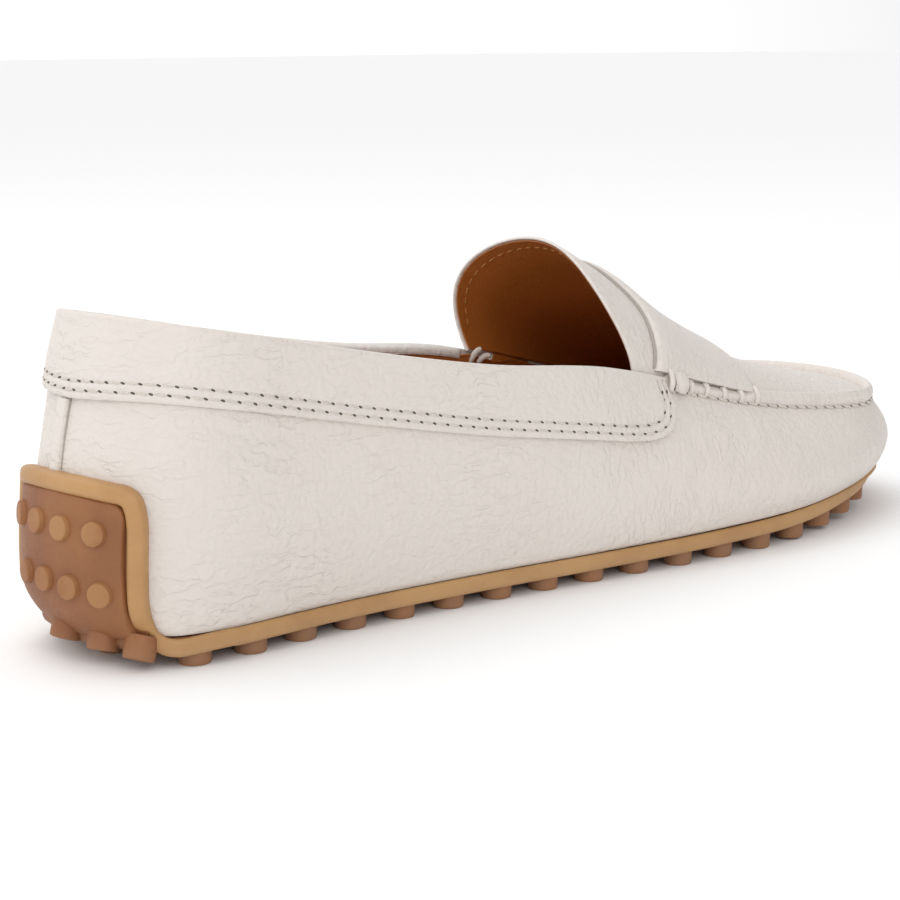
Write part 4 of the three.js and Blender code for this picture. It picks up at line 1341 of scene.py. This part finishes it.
def makeRubber(name, tone, deep, roughness):
    sizes = rubberSizes
    paint, shader = newPaint(name, roughness)
    tree = paint.node_tree
    clouds = placeGroup(tree, wearGroup, {"Scale": sizes["clouds"], "DustHeight": sizes["dustHeight"]})
    colour = mixColour(tree, clouds["Wear"], finish[tone], finish[deep])
    dusty = maths(tree, "MULTIPLY", clouds["Dust"], sizes["dustShare"])
    tree.links.new(mixColour(tree, dusty, colour, finish["dust"]), shader.inputs["Base Color"])
    tooth = noise(tree, objectPlace(tree), sizes["tooth"], 4)[0]
    least, most = roughness - sizes["smoother"], roughness + sizes["rougher"]
    rough = mapRange(tree, tooth, *sizes["toothEdge"], least, most)
    tree.links.new(rough, shader.inputs["Roughness"])
    addBump(tree, shader, tooth, sizes["bump"], sizes["depth"])
    return paint


# Thread, thong, the painted shade of needle holes and the painted shadow lines: one tone with the fine
# twist of fibres
fibreSizes = {"scale": 2600, "dark": .84, "edge": (.35, .65), "bump": .5, "depth": .0002}


def makeFibre(name, tone, roughness):
    sizes = fibreSizes
    paint, shader = newPaint(name, roughness)
    tree = paint.node_tree
    fibres = noise(tree, objectPlace(tree), sizes["scale"], 3)[0]
    dark = tuple(value * sizes["dark"] for value in finish[tone])
    colour = mixColour(tree, mapRange(tree, fibres, *sizes["edge"], 0, 1), dark, finish[tone])
    tree.links.new(colour, shader.inputs["Base Color"])
    addBump(tree, shader, fibres, sizes["bump"], sizes["depth"])
    return paint


makeCamera()
makeFloor()
makeLight()
print("mixing the paints")
grainGroup = makeGrainGroup()
wearGroup = makeWearGroup()
leather = makeLeather("pebbledLeather", ("leather", "leatherCreaseShade", "leatherWarm"),
                      {"Scale": 700, "Pebble": .42, "Crease": .42}, .0003)
tan = makeLeather("tanLining", ("tan", "tanCreaseShadeAndWear", "tanCreaseShadeAndWear"),
                  {"Scale": 1400, "Pebble": .5, "Crease": .1}, .0001)
caramel = makeRubber("caramelRubber", "caramel", "caramelDeep", .5)
brown = makeRubber("brownRubber", "brown", "brownDeep", .55)
palerBrown = makeRubber("palerBrownRubber", "stud", "brown", .55)
thread = makeFibre("paleThread", "thread", .7)
# Painted shade: dark beads where the needle holes are
holeShade = makeFibre("needleHoleShade", "holeShade", .9)
# Painted shadow: the dark lines along the strap's back edge and the tape's near edge
shadowLinePaint = makeFibre("shadowLinePaint", "edge", .8)
tanThread = makeFibre("tanThread", "tanThread", .7)

print("building the upper")
upperWall = keep(makeUpperWall(), leather, "upper_leather", "upper")
upperWall.data.materials.append(tan)   # the flesh side, seen only from inside the shoe
keep(makeApron(), leather, "upper_leather", "upper")
keep(makeLiningWall(), tan, "insole_leather")
keep(makeLiningApron(), tan, "insole_leather")
keep(makeCuff(), leather, "upper_leather", "collar_cuff")
keep(makeStrap(), leather, "upper_leather", "apron_strap")
keep(makeTape(), leather, "upper_leather", "heel_tape")
for piece, paint in zip(makeCuffStitches() + makeSeamStitches(), (thread, holeShade) * 2):
    keep(piece, paint, "upper_leather")
keep(makeSeamBars(), leather, "upper_leather")
keep(makeThong(), thread, "upper_leather")
keep(makeStrapShadowLine(), shadowLinePaint, "upper_leather")
keep(makeTapeShadowLine(), shadowLinePaint, "upper_leather")
keep(makeLiningStitches(), tanThread, "insole_leather")
print("building the sole")
keep(makeSoleSheet(), brown, "sole_rubber", "outsole")
keep(makeBand(), caramel, "sole_rubber", "outsole")
keep(makeCup(), brown, "sole_rubber", "outsole")
keep(makeFloorStuds(), brown, "sole_rubber", "outsole")
keep(makeTurnStuds(), brown, "sole_rubber", "outsole")
keep(makePanel(), brown, "panel_rubber", "heel_panel")
keep(makeHeelStuds(), palerBrown, "panel_rubber", "heel_panel")
keep(makeInsole(), tan, "insole_leather", "insole")
